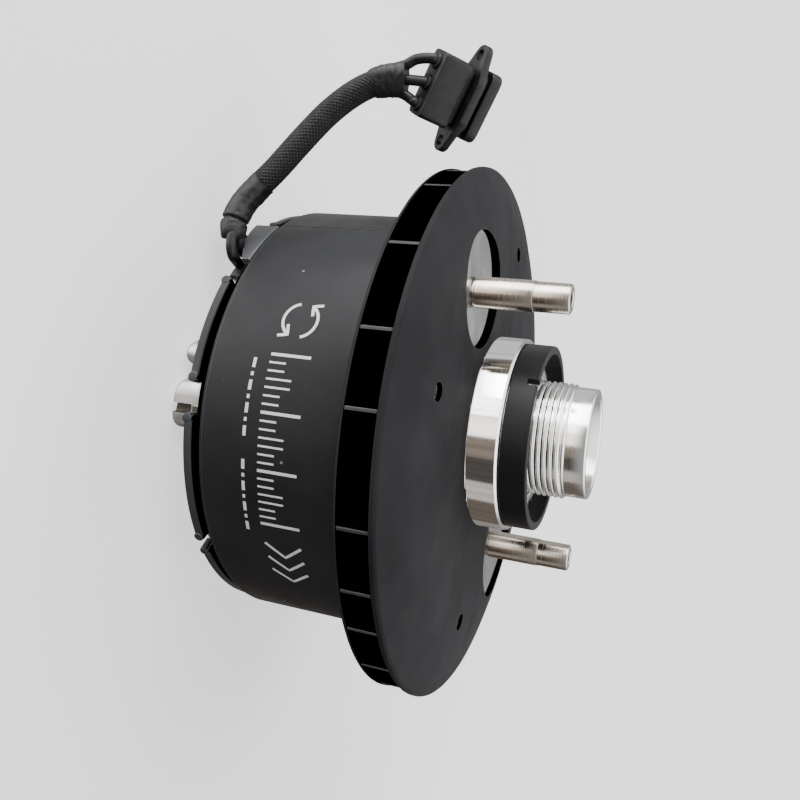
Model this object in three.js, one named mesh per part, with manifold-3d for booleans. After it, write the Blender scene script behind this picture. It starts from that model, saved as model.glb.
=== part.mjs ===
// A large brushless outrunner motor for a drone: the can, the magnets and a radial cooling fan turn
// around a wound stator that is bolted down by its base. Millimetres, +Z along the shaft, with the
// mounting face at z = 0 and the shaft end up. The angles are in degrees from +X towards +Y.
import * as THREE from "three";
import { mergeVertices } from "three/addons/utils/BufferGeometryUtils.js";
import Module from "manifold-3d";

const wasm = await Module();
wasm.setup();

// ---------------------------------------------------------------- driving dimensions

const gap = 0.3; // clearance between neighbouring pieces
const facets = { wide: 48, middle: 32, narrow: 18, fine: 8 }; // sides of round pieces, by size

const can = { outer: 56, inner: 54, rear: 13, front: 53.4 };
const stack = { bottom: 15.5, top: 48.5, teeth: 36, bore: 31, slotFloor: 36, tipRadius: 49.8 };
const tooth = { bodyWidth: 4, shoeHeight: 1.2, slotOpening: 1.8 };
const winding = { overhang: 3.6, inner: 37, outer: 47.4, busHeight: 0.5, busCircle: 38.2, busPitch: 2.6 };
const magnet = { count: 42, inner: 50.6, outer: 53.7, bottom: 14.5, top: 49.5 };

const shaft = { radius: 15, bore: 12.4, bottom: 8.6, top: 95.4, noseRadius: 14.4, noseLength: 5.1 };
const thread = { pitch: 1.5, crest: 15.2, root: 14.2, start: 78.8, turns: 7 };
const clipGroove = { groove: 14.2, bottom: 11, top: 12.1 };
const bearing = { width: 7, lowerZ: 14, upperZ: 42, ballRadius: 1.5, pitchRadius: 18.5, balls: 10 };
const race = { innerWall: 16.7, outerBore: 20.3, outerRadius: 21.6 };
const tube = { bore: 21.9, radius: 24.2, bottom: 11.3, top: 49.3, flangeRadius: 30, flange: 2 };

const fan = { rimRadius: 69.8, rimZ: 63, rimThickness: 1.3, crownZ: 67.7, flatRadius: 46 };
const fanRing = { outer: 69.1, inner: 54.4, rear: 53.7, front: 54.5 };
const blade = { inner: 57.9, outer: 68.7, root: 58.4, thickness: 0.8, firstAngle: -143 };
// The pitches are uneven, which keeps the fan quiet, and repeat after half a turn, which balances it.
const halfTurnPitches = [20.5, 18, 14, 20.5, 12.5, 9.5, 13, 14, 18.5, 13, 12.5, 14];
const fanScrew = { circle: 50.8, firstAngle: -97.5, holeRadius: 2.2, shank: 1.2, head: 1.85, tip: 61 };

const bell = { plateRadius: 57, plateTop: 65.1, plateThickness: 2.9, hubRadius: 24.2, bossRadius: 21 };
const web = { count: 6, firstAngle: 30, thickness: 2.2, inner: 20, outer: 53.5, bottom: 53.4 };
const spigot = { inner: 50.2, bottom: 50, top: 54.1 };
const collar = { radius: 25.6, bottom: 68.1, top: 75.9 };
const clampRing = { outer: 24.5, inner: 22.3, bottom: 76.2, top: 82.9, slotWidth: 1.5, slotDepth: 2.7 };
const lockNut = { inner: 15.5, outer: 22, faceRadius: 19.4, bottom: 76.2, top: 79.2, slotWidth: 2.8 };

const post = { circle: 41.5, angle: -143.5, radius: 3.9, neck: 3.7, end: 3.72, stud: 2.1, top: 89.3 };
const postOpening = { radius: 14.7, circle: 42.3 }; // in the fan, around each post

const base = { hubBore: 17, hubRadius: 30, hubBottom: 4, hubTop: 11, spokes: 8, top: 9.2 };
const baseRim = { inner: 43.2, outer: 49.6, bottom: 5.2 };
const lug = { circle: 44.6, reach: 50.4, root: 38.6, width: 12.4, firstAngle: -86, hole: 2.1, depth: 6.5 };
const baseScrew = { circle: 47.2, beforeLug: 15, shank: 1.5, head: 2.75, boss: 3.4, bottom: 1, tip: 9 };
const tubeScrew = { circle: 26.4, shank: 1.5, head: 2.7, bottom: 4.2, headTop: 6.3, tip: 12.4 };
const screwClearance = 0.3;
const coverRing = { outer: 55.1, wall: 51.6, inner: 44, bottom: 7.8, top: 10 };
const coverFlange = { bottom: 9.5, top: 10.8 };
const rimBreak = { beforeLug: 6.4, afterLug: 2.1, slitHalf: 1.9, slits: [-47.4, 42.6, 132.6] };
const ear = { radius: 1.25, length: 3.2, circle: 53.8, z: 8.75 }; // rolled end of a stretch of rim
const cableGap = { from: -147, to: -121 };
const guard = { inner: 54.3, outer: 56, from: -143.8, to: -127, bottom: 5.6, top: 12.6 };
const potting = { inner: 49.9, outer: 51.3, from: -142.5, to: -125.5, bottom: 5.6 };

const sleeveRadius = 3.5; // shrunk sleeves at both ends of the braid
const braidRadius = 3.1;
const leadRadius = 1.3;

// The cable's middle line, from the base out past the fan's rim and up to the connector.
const route = [
  [-36.4, -39.9, 7.9], [-36.5, -41.7, 7], [-38, -43.2, 6.5], [-40.1, -44.1, 6.5],
  [-41.9, -44.2, 6.4], [-44.5, -43.9, 6.6], [-48, -43.2, 7.6], [-52.5, -42.5, 10.6],
  [-57.6, -41.6, 14.4], [-63.8, -40.7, 18.6], [-69, -39.9, 22.2], [-73.4, -39.2, 25.6],
  [-78.2, -38.4, 30.6], [-81.2, -37.8, 35.4], [-82.3, -37.7, 40.2], [-82.5, -37.2, 44.9],
  [-82.3, -36.6, 49.4],
];
// The three leads between the resin and the point where the sleeve gathers them.
const baseLeadRoutes = [
  [[-39, -34.5, 6.9], [-39.8, -36, 5.4], [-40.8, -38.2, 5], [-40.2, -41, 4.9], [-40.1, -42.7, 4.6],
    [-40.8, -43.7, 4.6]],
  [[-36.2, -37.5, 6.9], [-36.5, -38.7, 6.5], [-36.6, -40.3, 6.7], [-37.1, -41.8, 7.4], [-38.9, -43, 7.9],
    [-40.7, -43, 7.6]],
  [[-32.9, -40.4, 7.4], [-33.2, -41.8, 7.6], [-33.5, -43.5, 8], [-34.2, -45.1, 8], [-36, -46, 7.8],
    [-38, -46.1, 7.6], [-40.2, -45.8, 7.5]],
];
// Where each covering starts and ends, as shares of the route's length.
const spans = { baseSleeve: [0.115, 0.286], braid: [0.292, 0.82], endSleeve: [0.832, 0.91] };

const connector = { length: 16.6, height: 7, depth: 8.4, axis: [0.06, 0.8, 0.6] };
const connectorLong = [0.87, 0.26, -0.43];
const flange = { bottom: 10.1, top: 12.2, earCircle: 11.3, earRadius: 2.7, hole: 1.4, halfWidth: 5.3 };
const seal = { length: 15.6, height: 6.4, bottom: 12.5, top: 13.9 };
const shroud = { length: 18, height: 7.8, bottom: 14.2, floor: 15.4, top: 17.4, wall: 1.2 };
const contact = { radius: 1.4, pitch: 4.8, bottom: 15.7, top: 17.2 };

// ---------------------------------------------------------------- finishes

const finish = (color, roughness, metalness) =>
  new THREE.MeshStandardMaterial({ color, roughness, metalness });
const looks = {
  blackCoat: finish(0x26272a, 0.5, 0.2),
  castAluminium: finish(0xa9acab, 0.45, 0.9),
  rawAluminium: finish(0x9c9d9d, 0.5, 0.9),
  polished: finish(0xdcdcda, 0.15, 1),
  steel: finish(0xb4aea6, 0.25, 1),
  greyCoat: finish(0x55565a, 0.55, 0.4),
  lamination: finish(0x4b4f55, 0.45, 0.8),
  copper: finish(0x9a4a1c, 0.35, 0.9),
  magnetNickel: finish(0x8d8f91, 0.3, 1),
  blackPlastic: finish(0x18181a, 0.6, 0),
  rubber: finish(0x141416, 0.75, 0),
  braid: finish(0x1c1c1e, 0.8, 0),
  potting: finish(0x8a8070, 0.7, 0),
  contact: finish(0xc9a24a, 0.3, 1),
};

const motor = new THREE.Group();

function addPiece(name, geometry, look) {
  const mesh = new THREE.Mesh(geometry, looks[look]);
  mesh.name = name;
  motor.add(mesh);
  return mesh;
}

// ---------------------------------------------------------------- solids

const radians = THREE.MathUtils.degToRad;
const onCircle = (radius, degrees) => [
  radius * Math.cos(radians(degrees)),
  radius * Math.sin(radians(degrees)),
];

// A closed geometry as a manifold solid.
function solid(geometry) {
  const bare = geometry.index ? geometry.toNonIndexed() : geometry.clone();
  bare.deleteAttribute("normal");
  bare.deleteAttribute("uv");
  const merged = mergeVertices(bare, 1e-3);
  return new wasm.Manifold(
    new wasm.Mesh({
      numProp: 3,
      vertProperties: merged.attributes.position.array,
      triVerts: new Uint32Array(merged.index.array),
    }),
  );
}

function geometryOf(manifold) {
  const mesh = manifold.getMesh();
  const geometry = new THREE.BufferGeometry();
  geometry.setAttribute("position", new THREE.BufferAttribute(mesh.vertProperties, 3));
  geometry.setIndex(new THREE.BufferAttribute(mesh.triVerts, 1));
  geometry.computeVertexNormals();
  return geometry;
}

const join = (first, ...others) => others.reduce((sum, next) => sum.add(next), first);
const cut = (from, ...tools) => tools.reduce((rest, tool) => rest.subtract(tool), from);

// A solid of revolution about Z. The profile is [radius, z] points, anticlockwise, and closes itself.
function turned(profile, segments = facets.wide) {
  const points = [...profile, profile[0]].map(([r, z]) => new THREE.Vector2(r, z));
  const geometry = new THREE.LatheGeometry(points, segments);
  geometry.rotateX(Math.PI / 2);
  return geometry;
}

// A solid turned piece standing on [x, y]; its profile starts and ends on its own axis.
function spindle(profile, segments, [x, y]) {
  const points = profile.map(([r, z]) => new THREE.Vector2(r, z));
  const geometry = new THREE.LatheGeometry(points, segments);
  geometry.rotateX(Math.PI / 2);
  geometry.translate(x, y, 0);
  return geometry;
}

const ringProfile = (inner, outer, bottom, top) => [
  [inner, bottom], [outer, bottom], [outer, top], [inner, top],
];
const ring = (inner, outer, bottom, top, segments) =>
  turned(ringProfile(inner, outer, bottom, top), segments);

// A round bar standing on [x, y] from bottom to top.
function bar(radius, bottom, top, [x, y] = [0, 0], sides = facets.fine) {
  const geometry = new THREE.CylinderGeometry(radius, radius, top - bottom, sides);
  geometry.rotateX(Math.PI / 2);
  geometry.translate(x, y, (top + bottom) / 2);
  return geometry;
}

// A block from one corner to the other, turned about Z by the angle.
function block([x0, y0, z0], [x1, y1, z1], degrees = 0) {
  const geometry = new THREE.BoxGeometry(x1 - x0, y1 - y0, z1 - z0);
  geometry.translate((x0 + x1) / 2, (y0 + y1) / 2, (z0 + z1) / 2);
  geometry.rotateZ(radians(degrees));
  return geometry;
}

// A flat outline of [x, y] points, raised from bottom to top.
function slab(outline, bottom, top, holes = []) {
  const shape = new THREE.Shape(outline.map(([x, y]) => new THREE.Vector2(x, y)));
  shape.holes = holes.map((hole) => new THREE.Path(hole.map(([x, y]) => new THREE.Vector2(x, y))));
  const geometry = new THREE.ExtrudeGeometry(shape, { depth: top - bottom, bevelEnabled: false });
  geometry.translate(0, 0, bottom);
  return geometry;
}

const circleOutline = (radius, sides) =>
  Array.from({ length: sides }, (_, i) => onCircle(radius, (i * 360) / sides));

// A sector of a ring between two angles.
function sector(inner, outer, from, to, bottom, top) {
  const steps = Math.max(2, Math.ceil((to - from) / 9));
  const angles = Array.from({ length: steps + 1 }, (_, i) => from + ((to - from) * i) / steps);
  const outline = [
    ...angles.map((a) => onCircle(outer, a)),
    ...angles.reverse().map((a) => onCircle(inner, a)),
  ];
  return slab(outline, bottom, top);
}

// A tube of the given radius that follows a curve.
function sweep(curve, radius, steps, sides = 10) {
  const section = new THREE.Shape(
    circleOutline(radius, sides).map(([x, y]) => new THREE.Vector2(x, y)),
  );
  return new THREE.ExtrudeGeometry(section, { extrudePath: curve, steps, bevelEnabled: false });
}

// The same shape at every angle of a circle of copies.
const around = (count, firstAngle, make) =>
  Array.from({ length: count }, (_, i) => make(firstAngle + (i * 360) / count, i));

// ---------------------------------------------------------------- stator

function basePlate() {
  const { hubBore, hubRadius, hubBottom, hubTop, spokes, top } = base;
  const hub = solid(ring(hubBore, hubRadius, hubBottom, hubTop, facets.middle));
  const rim = solid(ring(baseRim.inner, baseRim.outer, baseRim.bottom, top, facets.middle));
  const arms = around(spokes, 180 / spokes, (angle) =>
    solid(block([hubRadius - 2, -2.6, baseRim.bottom - 0.2], [baseRim.inner + 1.3, 2.6, top], angle)),
  );
  const lugs = around(4, lug.firstAngle, (angle) => solid(mountLug(angle)));
  const bosses = around(4, lug.firstAngle - baseScrew.beforeLug, (angle) =>
    solid(bar(baseScrew.boss, baseScrew.bottom + 2.6, top, onCircle(baseScrew.circle, angle))),
  );
  const mountHoles = around(4, lug.firstAngle, (angle) =>
    solid(bar(lug.hole, -1, lug.depth, onCircle(lug.circle, angle))),
  );
  const screwHoles = around(4, lug.firstAngle - baseScrew.beforeLug, (angle) =>
    solid(bar(baseScrew.shank + screwClearance, 0, top + 1, onCircle(baseScrew.circle, angle))),
  );
  const tubeScrewHoles = around(4, 0, (angle) => {
    const place = onCircle(tubeScrew.circle, angle);
    return join(
      solid(bar(tubeScrew.shank + screwClearance, hubBottom - 1, hubTop + 1, place)),
      solid(bar(tubeScrew.head + screwClearance, hubBottom - 1, tubeScrew.headTop + gap, place)),
    );
  });
  const body = join(hub, rim, ...arms, ...lugs, ...bosses);
  return geometryOf(cut(body, ...mountHoles, ...screwHoles, ...tubeScrewHoles));
}

// A rounded mounting lug with a narrow relief slot across its outer face.
function mountLug(angle) {
  const { width, reach, root } = lug;
  const half = width / 2;
  const slotFloor = reach - 2.6;
  const outline = [
    [root, -half], [reach - 3, -half], [reach - 0.9, -half + 1.1], [reach, -half + 3.2],
    [reach, -1], [slotFloor, -1], [slotFloor, 1], [reach, 1],
    [reach, half - 3.2], [reach - 0.9, half - 1.1], [reach - 3, half], [root, half],
  ];
  const geometry = slab(outline, 0, base.top);
  geometry.rotateZ(radians(angle));
  return geometry;
}

// Domed screws under the base, beside the mounting lugs.
function baseScrewPiece(angle) {
  const { circle, shank, head, bottom, tip } = baseScrew;
  const profile = [
    [0, bottom], [1.5, bottom + 0.15], [2.4, bottom + 0.8], [head, bottom + 1.7],
    [head, bottom + 2.3], [shank, bottom + 2.3], [shank, tip], [0, tip],
  ];
  return spindle(profile, facets.fine, onCircle(circle, angle));
}

function tubeScrewPiece(angle) {
  const { circle, shank, head, bottom, headTop, tip } = tubeScrew;
  const place = onCircle(circle, angle);
  const headSolid = solid(bar(head, bottom, headTop, place));
  const shankSolid = solid(bar(shank, bottom + 1, tip, place));
  return geometryOf(join(headSolid, shankSolid));
}

// The thin ring around the base: a flange, and a rim that breaks at each lug and at the cable.
function coverRingSolid() {
  const { outer, wall, inner, bottom, top } = coverRing;
  const { beforeLug, afterLug, slitHalf, slits } = rimBreak;
  const plate = solid(ring(inner, wall + 0.8, coverFlange.bottom, coverFlange.top, facets.middle));
  const breaks = [
    ...around(4, lug.firstAngle, (angle) => [angle - beforeLug, angle + afterLug]),
    ...slits.map((angle) => [angle - slitHalf, angle + slitHalf]),
    [cableGap.from, cableGap.to],
  ].sort((a, b) => a[0] - b[0]);
  const stretches = breaks.map(([, from], i) => {
    const to = i + 1 < breaks.length ? breaks[i + 1][0] : breaks[0][0] + 360;
    return join(solid(sector(wall, outer, from, to, bottom, top)), rolledEar(from + 1), rolledEar(to - 1));
  });
  return geometryOf(join(plate, ...stretches));
}

// The rounded end of a stretch of rim.
function rolledEar(angle) {
  const geometry = new THREE.CylinderGeometry(ear.radius, ear.radius, ear.length, 6);
  geometry.rotateZ(Math.PI / 2);
  geometry.translate(ear.circle, 0, ear.z);
  geometry.rotateZ(radians(angle));
  return solid(geometry);
}

// The wedge-shaped guard that turns the cable outwards past the can's rear rim.
function cableGuard() {
  const { inner, outer, from, to, bottom, top } = guard;
  const wall = solid(sector(inner, outer, from, to, bottom, top));
  const foot = solid(sector(coverRing.wall - 0.4, outer - 1, from + 0.5, to - 5, top - 1.5, top));
  // The cut-away leaves an edge that falls from the front corner to the far end.
  const corner = new THREE.Shape([
    new THREE.Vector2(-1, top + gap), new THREE.Vector2(-1, bottom - 2), new THREE.Vector2(13, bottom - 2),
    new THREE.Vector2(13, bottom + 0.4), new THREE.Vector2(0.7, bottom + 4.8),
  ]);
  const wedge = new THREE.ExtrudeGeometry(corner, { depth: 8, bevelEnabled: false });
  // The outline's x runs along the rim and its y runs up.
  wedge.applyMatrix4(
    new THREE.Matrix4().makeBasis(
      new THREE.Vector3(0, -1, 0), new THREE.Vector3(0, 0, 1), new THREE.Vector3(-1, 0, 0),
    ),
  );
  wedge.translate(outer + 3, 0, 0);
  wedge.rotateZ(radians(to));
  return geometryOf(join(cut(wall, solid(wedge)), foot));
}

const leadPotting = () =>
  sector(potting.inner, potting.outer, potting.from, potting.to, potting.bottom, base.top);

function bearingTube() {
  const { bore, radius, bottom, top, flangeRadius, flange } = tube;
  const sleeve = turned([
    [bore, bottom], [flangeRadius, bottom], [flangeRadius, bottom + flange],
    [radius, bottom + flange], [radius, top], [bore, top],
  ], facets.middle);
  const carrierInner = 28.7;
  const carrier = ring(carrierInner, stack.bore - gap, stack.bottom + 0.5, stack.top - 0.5, facets.middle);
  const ribs = around(6, 15, (angle) =>
    solid(block([radius - 1, -1.1, stack.bottom + 0.5], [carrierInner + 0.7, 1.1, stack.top - 0.5], angle)),
  );
  const screwHoles = around(4, 0, (angle) => {
    const place = onCircle(tubeScrew.circle, angle);
    return solid(bar(tubeScrew.shank + screwClearance, bottom - 1, bottom + flange + 1, place));
  });
  return geometryOf(cut(join(solid(sleeve), solid(carrier), ...ribs), ...screwHoles));
}

// The lamination stack: a yoke with T-shaped teeth.
function statorCore() {
  const { slotFloor, tipRadius, teeth, bore, bottom, top } = stack;
  const half = tooth.bodyWidth / 2;
  const shoe = tipRadius - tooth.shoeHeight;
  const halfShoe = (Math.PI * tipRadius) / teeth - tooth.slotOpening / 2;
  const outline = around(teeth, 0, (angle) => {
    const points = [
      [slotFloor, -half], [shoe, -half], [shoe + 0.3, -halfShoe], [tipRadius, -halfShoe],
      [tipRadius, halfShoe], [shoe + 0.3, halfShoe], [shoe, half], [slotFloor, half],
    ];
    const [c, s] = onCircle(1, angle);
    return points.map(([x, y]) => [x * c - y * s, x * s + y * c]);
  }).flat();
  return slab(outline, bottom, top, [circleOutline(bore, facets.middle).reverse()]);
}

// One phase: every third coil, joined by its own connection ring under the stack.
function windingPhase(phase) {
  const bottom = stack.bottom - winding.overhang;
  const top = stack.top + winding.overhang;
  const clear = tooth.bodyWidth / 2 + gap;
  const busRadius = winding.busCircle + winding.busPitch * phase;
  const busTop = bottom - gap;
  const coils = around(stack.teeth / 3, (phase * 360) / stack.teeth, (angle) => {
    const innerHalf = 2.95;
    const outerHalf = 3.6;
    const outline = [
      [winding.inner, -innerHalf], [winding.outer, -outerHalf],
      [winding.outer, outerHalf], [winding.inner, innerHalf],
    ];
    const body = solid(slab(outline, bottom, top));
    const core = solid(block([30, -clear, stack.bottom - gap], [60, clear, stack.top + gap]));
    const riser = block(
      [busRadius - 0.5, -1, busTop - winding.busHeight], [busRadius + 0.5, 1, bottom + 0.8],
    );
    return join(cut(body, core), solid(riser)).rotate([0, 0, angle]);
  });
  const bus = ring(busRadius - 0.6, busRadius + 0.6, busTop - winding.busHeight, busTop, facets.narrow);
  return geometryOf(join(solid(bus), ...coils));
}

// ---------------------------------------------------------------- bearings

const innerRace = (z) => ring(shaft.radius + gap, race.innerWall, z, z + bearing.width, facets.narrow);
const outerRace = (z) => ring(race.outerBore, race.outerRadius, z, z + bearing.width, facets.narrow);

function ballCage(z) {
  const middle = z + bearing.width / 2;
  const { pitchRadius } = bearing;
  const strip = ring(pitchRadius - 0.5, pitchRadius + 0.5, middle - 1, middle + 1, facets.narrow);
  const balls = around(bearing.balls, 0, (angle) => {
    const ball = new THREE.SphereGeometry(bearing.ballRadius, 6, 3);
    ball.translate(...onCircle(pitchRadius, angle), middle);
    return solid(ball);
  });
  return geometryOf(join(solid(strip), ...balls));
}

const bearingShield = (z) => ring(17.1, race.outerBore - gap, z, z + 0.5, facets.narrow);

// ---------------------------------------------------------------- rotor

const rotorCan = () =>
  turned([
    [can.inner, can.rear], [can.outer - 0.4, can.rear], [can.outer, can.rear + 0.4],
    [can.outer, can.front - 0.3], [can.outer - 0.3, can.front], [can.inner, can.front],
  ]);

// Flat-faced magnets on a common backing.
function magnetRing() {
  const pitch = 360 / magnet.count;
  const groove = magnet.outer - 1.8;
  const inner = around(magnet.count, 0, (angle) => [
    onCircle(groove, angle - pitch * 0.5),
    onCircle(magnet.inner, angle - pitch * 0.4), onCircle(magnet.inner, angle + pitch * 0.4),
  ]).flat();
  return slab(circleOutline(magnet.outer, facets.wide), magnet.bottom, magnet.top, [inner.reverse()]);
}

// The end bell: a hub and a flat plate on webs, over a spigot that fits the can.
function endBell() {
  const under = bell.plateTop - bell.plateThickness;
  const bore = shaft.radius + gap;
  const bossBottom = web.bottom - 1;
  const plate = solid(turned([
    [bore, bossBottom], [bell.bossRadius, bossBottom], [bell.bossRadius, under], [bell.plateRadius, under],
    [bell.plateRadius, bell.plateTop], [bell.hubRadius, bell.plateTop],
    [bell.hubRadius, collar.bottom - gap], [bore, collar.bottom - gap],
  ], facets.middle));
  const rim = solid(ring(spigot.inner, can.inner - gap, spigot.bottom, spigot.top, facets.middle));
  const half = web.thickness / 2;
  const webs = around(web.count, web.firstAngle, (angle) =>
    solid(block([web.inner, -half, web.bottom], [web.outer, half, under + 0.5], angle)),
  );
  const postHoles = [0, 180].map((turn) =>
    solid(bar(post.stud + gap, under - 1, bell.plateTop + 1, onCircle(post.circle, post.angle + turn))),
  );
  const screwHoles = around(4, fanScrew.firstAngle, (angle) =>
    solid(bar(fanScrew.shank + gap, under - 1, bell.plateTop + 1, onCircle(fanScrew.circle, angle))),
  );
  return geometryOf(cut(join(plate, rim, ...webs), ...postHoles, ...screwHoles));
}

// Height of the fan's domed front face at a radius.
function fanFace(radius) {
  const share = Math.max(0, (radius - fan.flatRadius) / (fan.rimRadius - fan.flatRadius));
  return fan.crownZ - (fan.crownZ - fan.rimZ) * share * share;
}

// The radial cooling fan: a domed disc and a thin ring, with unevenly spaced blades between them.
function coolingFan() {
  const boreRadius = bell.hubRadius + 0.4;
  const under = bell.plateTop + gap;
  const face = [66.5, 62.5, 57.5, fan.flatRadius].map((r) => [r, fanFace(r)]);
  const disc = solid(turned([
    [boreRadius, under], [58, under], [69.2, fan.rimZ - fan.rimThickness],
    [fan.rimRadius, fan.rimZ - fan.rimThickness + 0.5], [fan.rimRadius, fan.rimZ - 0.5],
    [fan.rimRadius - 0.7, fan.rimZ + 0.1], ...face, [boreRadius, fan.crownZ],
  ]));
  const backRing = solid(ring(fanRing.inner, fanRing.outer, fanRing.rear, fanRing.front));
  const blades = bladeAngles().map((angle) => solid(fanBlade(angle)));
  const postOpenings = [0, 180].map((turn) =>
    solid(bar(
      postOpening.radius, under - 2, fan.crownZ + 1,
      onCircle(postOpening.circle, post.angle + turn), facets.middle,
    )),
  );
  const screwHoles = around(4, fanScrew.firstAngle, (angle) =>
    solid(bar(fanScrew.holeRadius, under - 1, fan.crownZ + 1, onCircle(fanScrew.circle, angle))),
  );
  return geometryOf(cut(join(disc, backRing, ...blades), ...postOpenings, ...screwHoles));
}

function bladeAngles() {
  let angle = blade.firstAngle;
  return [...halfTurnPitches, ...halfTurnPitches].map((pitch) => {
    const here = angle;
    angle += pitch;
    return here;
  });
}

// One straight radial blade, drawn as radius against height and raised by its thickness.
function fanBlade(angle) {
  const { inner, outer, root, thickness } = blade;
  const bottom = fanRing.front - 0.3;
  const rootTop = bell.plateTop + 0.6;
  const outline = [
    [inner, bottom], [outer, bottom], [outer, fan.rimZ - 0.8], [root, rootTop], [inner, rootTop],
  ];
  const geometry = slab(outline, -thickness / 2, thickness / 2);
  geometry.rotateX(Math.PI / 2);
  geometry.rotateZ(radians(angle));
  return geometry;
}

// A countersunk screw that holds the fan to the end bell, its head below the fan's face.
function fanScrewPiece(angle) {
  const { circle, head, shank, tip } = fanScrew;
  const seat = bell.plateTop;
  const profile = [
    [0, tip], [shank, tip], [shank, seat + 0.3], [head, seat + 0.9], [head, seat + 1.5],
    [0.9, seat + 1.5], [0.7, seat + 0.8], [0, seat + 0.8],
  ];
  return spindle(profile, facets.fine, onCircle(circle, angle));
}

const hubCollar = () =>
  turned([
    [shaft.radius + gap, collar.bottom], [collar.radius - 0.3, collar.bottom],
    [collar.radius, collar.bottom + 0.3], [collar.radius, collar.top - 0.8],
    [collar.radius - 0.7, collar.top], [shaft.radius + gap, collar.top],
  ], facets.middle);

// The black ring on the collar, with a spanner slot at its front edge.
function clampRingSolid() {
  const { inner, outer, bottom, top, slotWidth, slotDepth } = clampRing;
  const body = solid(turned([
    [inner, bottom], [outer, bottom], [outer, top - 0.3], [outer - 0.3, top], [inner, top],
  ], facets.middle));
  const slots = [-118, 62].map((angle) =>
    solid(block([inner - 2, -slotWidth / 2, top - slotDepth], [outer + 2, slotWidth / 2, top + 1], angle)),
  );
  return geometryOf(cut(body, ...slots));
}

function lockNutSolid() {
  const { inner, outer, faceRadius, bottom, top, slotWidth } = lockNut;
  const step = top - 0.9;
  const body = solid(turned([
    [inner, bottom], [outer, bottom], [outer, step], [faceRadius, step], [faceRadius, top], [inner, top],
  ], facets.middle));
  const slots = around(4, 20, (angle) =>
    solid(block([faceRadius - 2, -slotWidth / 2, top - 1.2], [outer + 2, slotWidth / 2, top + 1], angle)),
  );
  return geometryOf(cut(body, ...slots));
}

// The hollow shaft, threaded above the collar; each thread turn is drawn as a ridge.
function hollowShaft() {
  const { radius, bore, bottom, top, noseRadius, noseLength } = shaft;
  const ridges = Array.from({ length: thread.turns }, (_, i) => {
    const z = thread.start + i * thread.pitch;
    return [[thread.root, z], [thread.crest, z + thread.pitch / 2]];
  }).flat();
  const { groove, bottom: grooveBottom, top: grooveTop } = clipGroove;
  return turned([
    [bore, bottom], [radius, bottom], [radius, grooveBottom], [groove, grooveBottom],
    [groove, grooveTop], [radius, grooveTop],
    [radius, thread.start - 0.8], ...ridges, [noseRadius, top - noseLength],
    [noseRadius, top - 0.4], [noseRadius - 0.4, top], [bore, top],
  ], facets.middle);
}

// A spring clip in the groove at the shaft's lower end.
function shaftClip() {
  const { groove, bottom, top } = clipGroove;
  const body = solid(ring(groove + gap, groove + 2.8, bottom + gap, top - gap, facets.narrow));
  const mouth = solid(block([groove - 2, -2.4, bottom], [groove + 6, 2.4, top], 45));
  return geometryOf(cut(body, mouth));
}

// A drive post: a necked foot, a long body, a groove, and an end with a tapped hole.
function drivePost(turn) {
  const { radius, neck, end, stud, top, circle, angle } = post;
  const foot = bell.plateTop + gap;
  const tapped = { radius: 1.6, depth: 7 };
  const profile = [
    [0, foot - 2.6], [stud, foot - 2.6], [stud, foot], [neck, foot], [neck, foot + 0.9],
    [neck - 0.3, foot + 1.1], [radius, foot + 1.6], [radius, top - 8.9], [end, top - 8.6],
    [end, top - 0.5], [end - 0.5, top], [tapped.radius, top],
    [tapped.radius, top - tapped.depth], [0, top - tapped.depth],
  ];
  return spindle(profile, facets.narrow, onCircle(circle, angle + turn));
}

// ---------------------------------------------------------------- cable and connector

const routeCurve = new THREE.CatmullRomCurve3(
  route.map((point) => new THREE.Vector3(...point)),
  false,
  "centripetal",
);

// The stretch of the route between two shares of its length.
function stretch([from, to], points = 12) {
  const part = Array.from({ length: points + 1 }, (_, i) =>
    routeCurve.getPointAt(from + ((to - from) * i) / points),
  );
  return new THREE.CatmullRomCurve3(part, false, "centripetal");
}

const across = new THREE.Vector3(...connectorLong).normalize();
const mating = new THREE.Vector3(...connector.axis);
mating.addScaledVector(across, -mating.dot(across)).normalize();
const thick = new THREE.Vector3().crossVectors(mating, across);
const connectorFrame = new THREE.Matrix4()
  .makeBasis(across, thick, mating)
  .setPosition(routeCurve.getPointAt(1).addScaledVector(mating, gap));

const baseLead = (points) =>
  sweep(
    new THREE.CatmullRomCurve3(points.map((point) => new THREE.Vector3(...point))),
    leadRadius, 7, 8,
  );

// The three leads fan out flat between the end sleeve and the connector.
function tailLead(index) {
  const shift = index - 1;
  const from = routeCurve.getPointAt(spans.endSleeve[1] + 0.012);
  const tangent = routeCurve.getTangentAt(spans.endSleeve[1]);
  const spread = across.clone().addScaledVector(tangent, -across.dot(tangent)).normalize();
  const start = from.addScaledVector(spread, 3 * shift);
  const end = routeCurve.getPointAt(1).addScaledVector(across, 5.5 * shift);
  const reach = start.distanceTo(end) * 0.35;
  const curve = new THREE.CubicBezierCurve3(
    start,
    start.clone().addScaledVector(tangent, reach),
    end.clone().addScaledVector(mating, -reach),
    end,
  );
  return sweep(curve, leadRadius, 5, 8);
}

// A rounded block in the connector's own frame, x across, y through and z along the mating axis.
function connectorBlock(length, height, from, to, corner = 1.2) {
  const x = length / 2;
  const y = height / 2;
  const outline = [
    [-x + corner, -y], [x - corner, -y], [x, -y + corner], [x, y - corner],
    [x - corner, y], [-x + corner, y], [-x, y - corner], [-x, -y + corner],
  ];
  return slab(outline, from, to);
}

const inConnector = (geometry) => geometry.applyMatrix4(connectorFrame);

// Rear housing: the main block and a narrower waist behind the flange.
function connectorHousing() {
  const { length, height, depth } = connector;
  const main = solid(connectorBlock(length, height, 0, depth));
  const waist = solid(connectorBlock(length - 2.2, height - 1.6, depth - 0.2, flange.bottom - gap));
  return inConnector(geometryOf(join(main, waist)));
}

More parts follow.
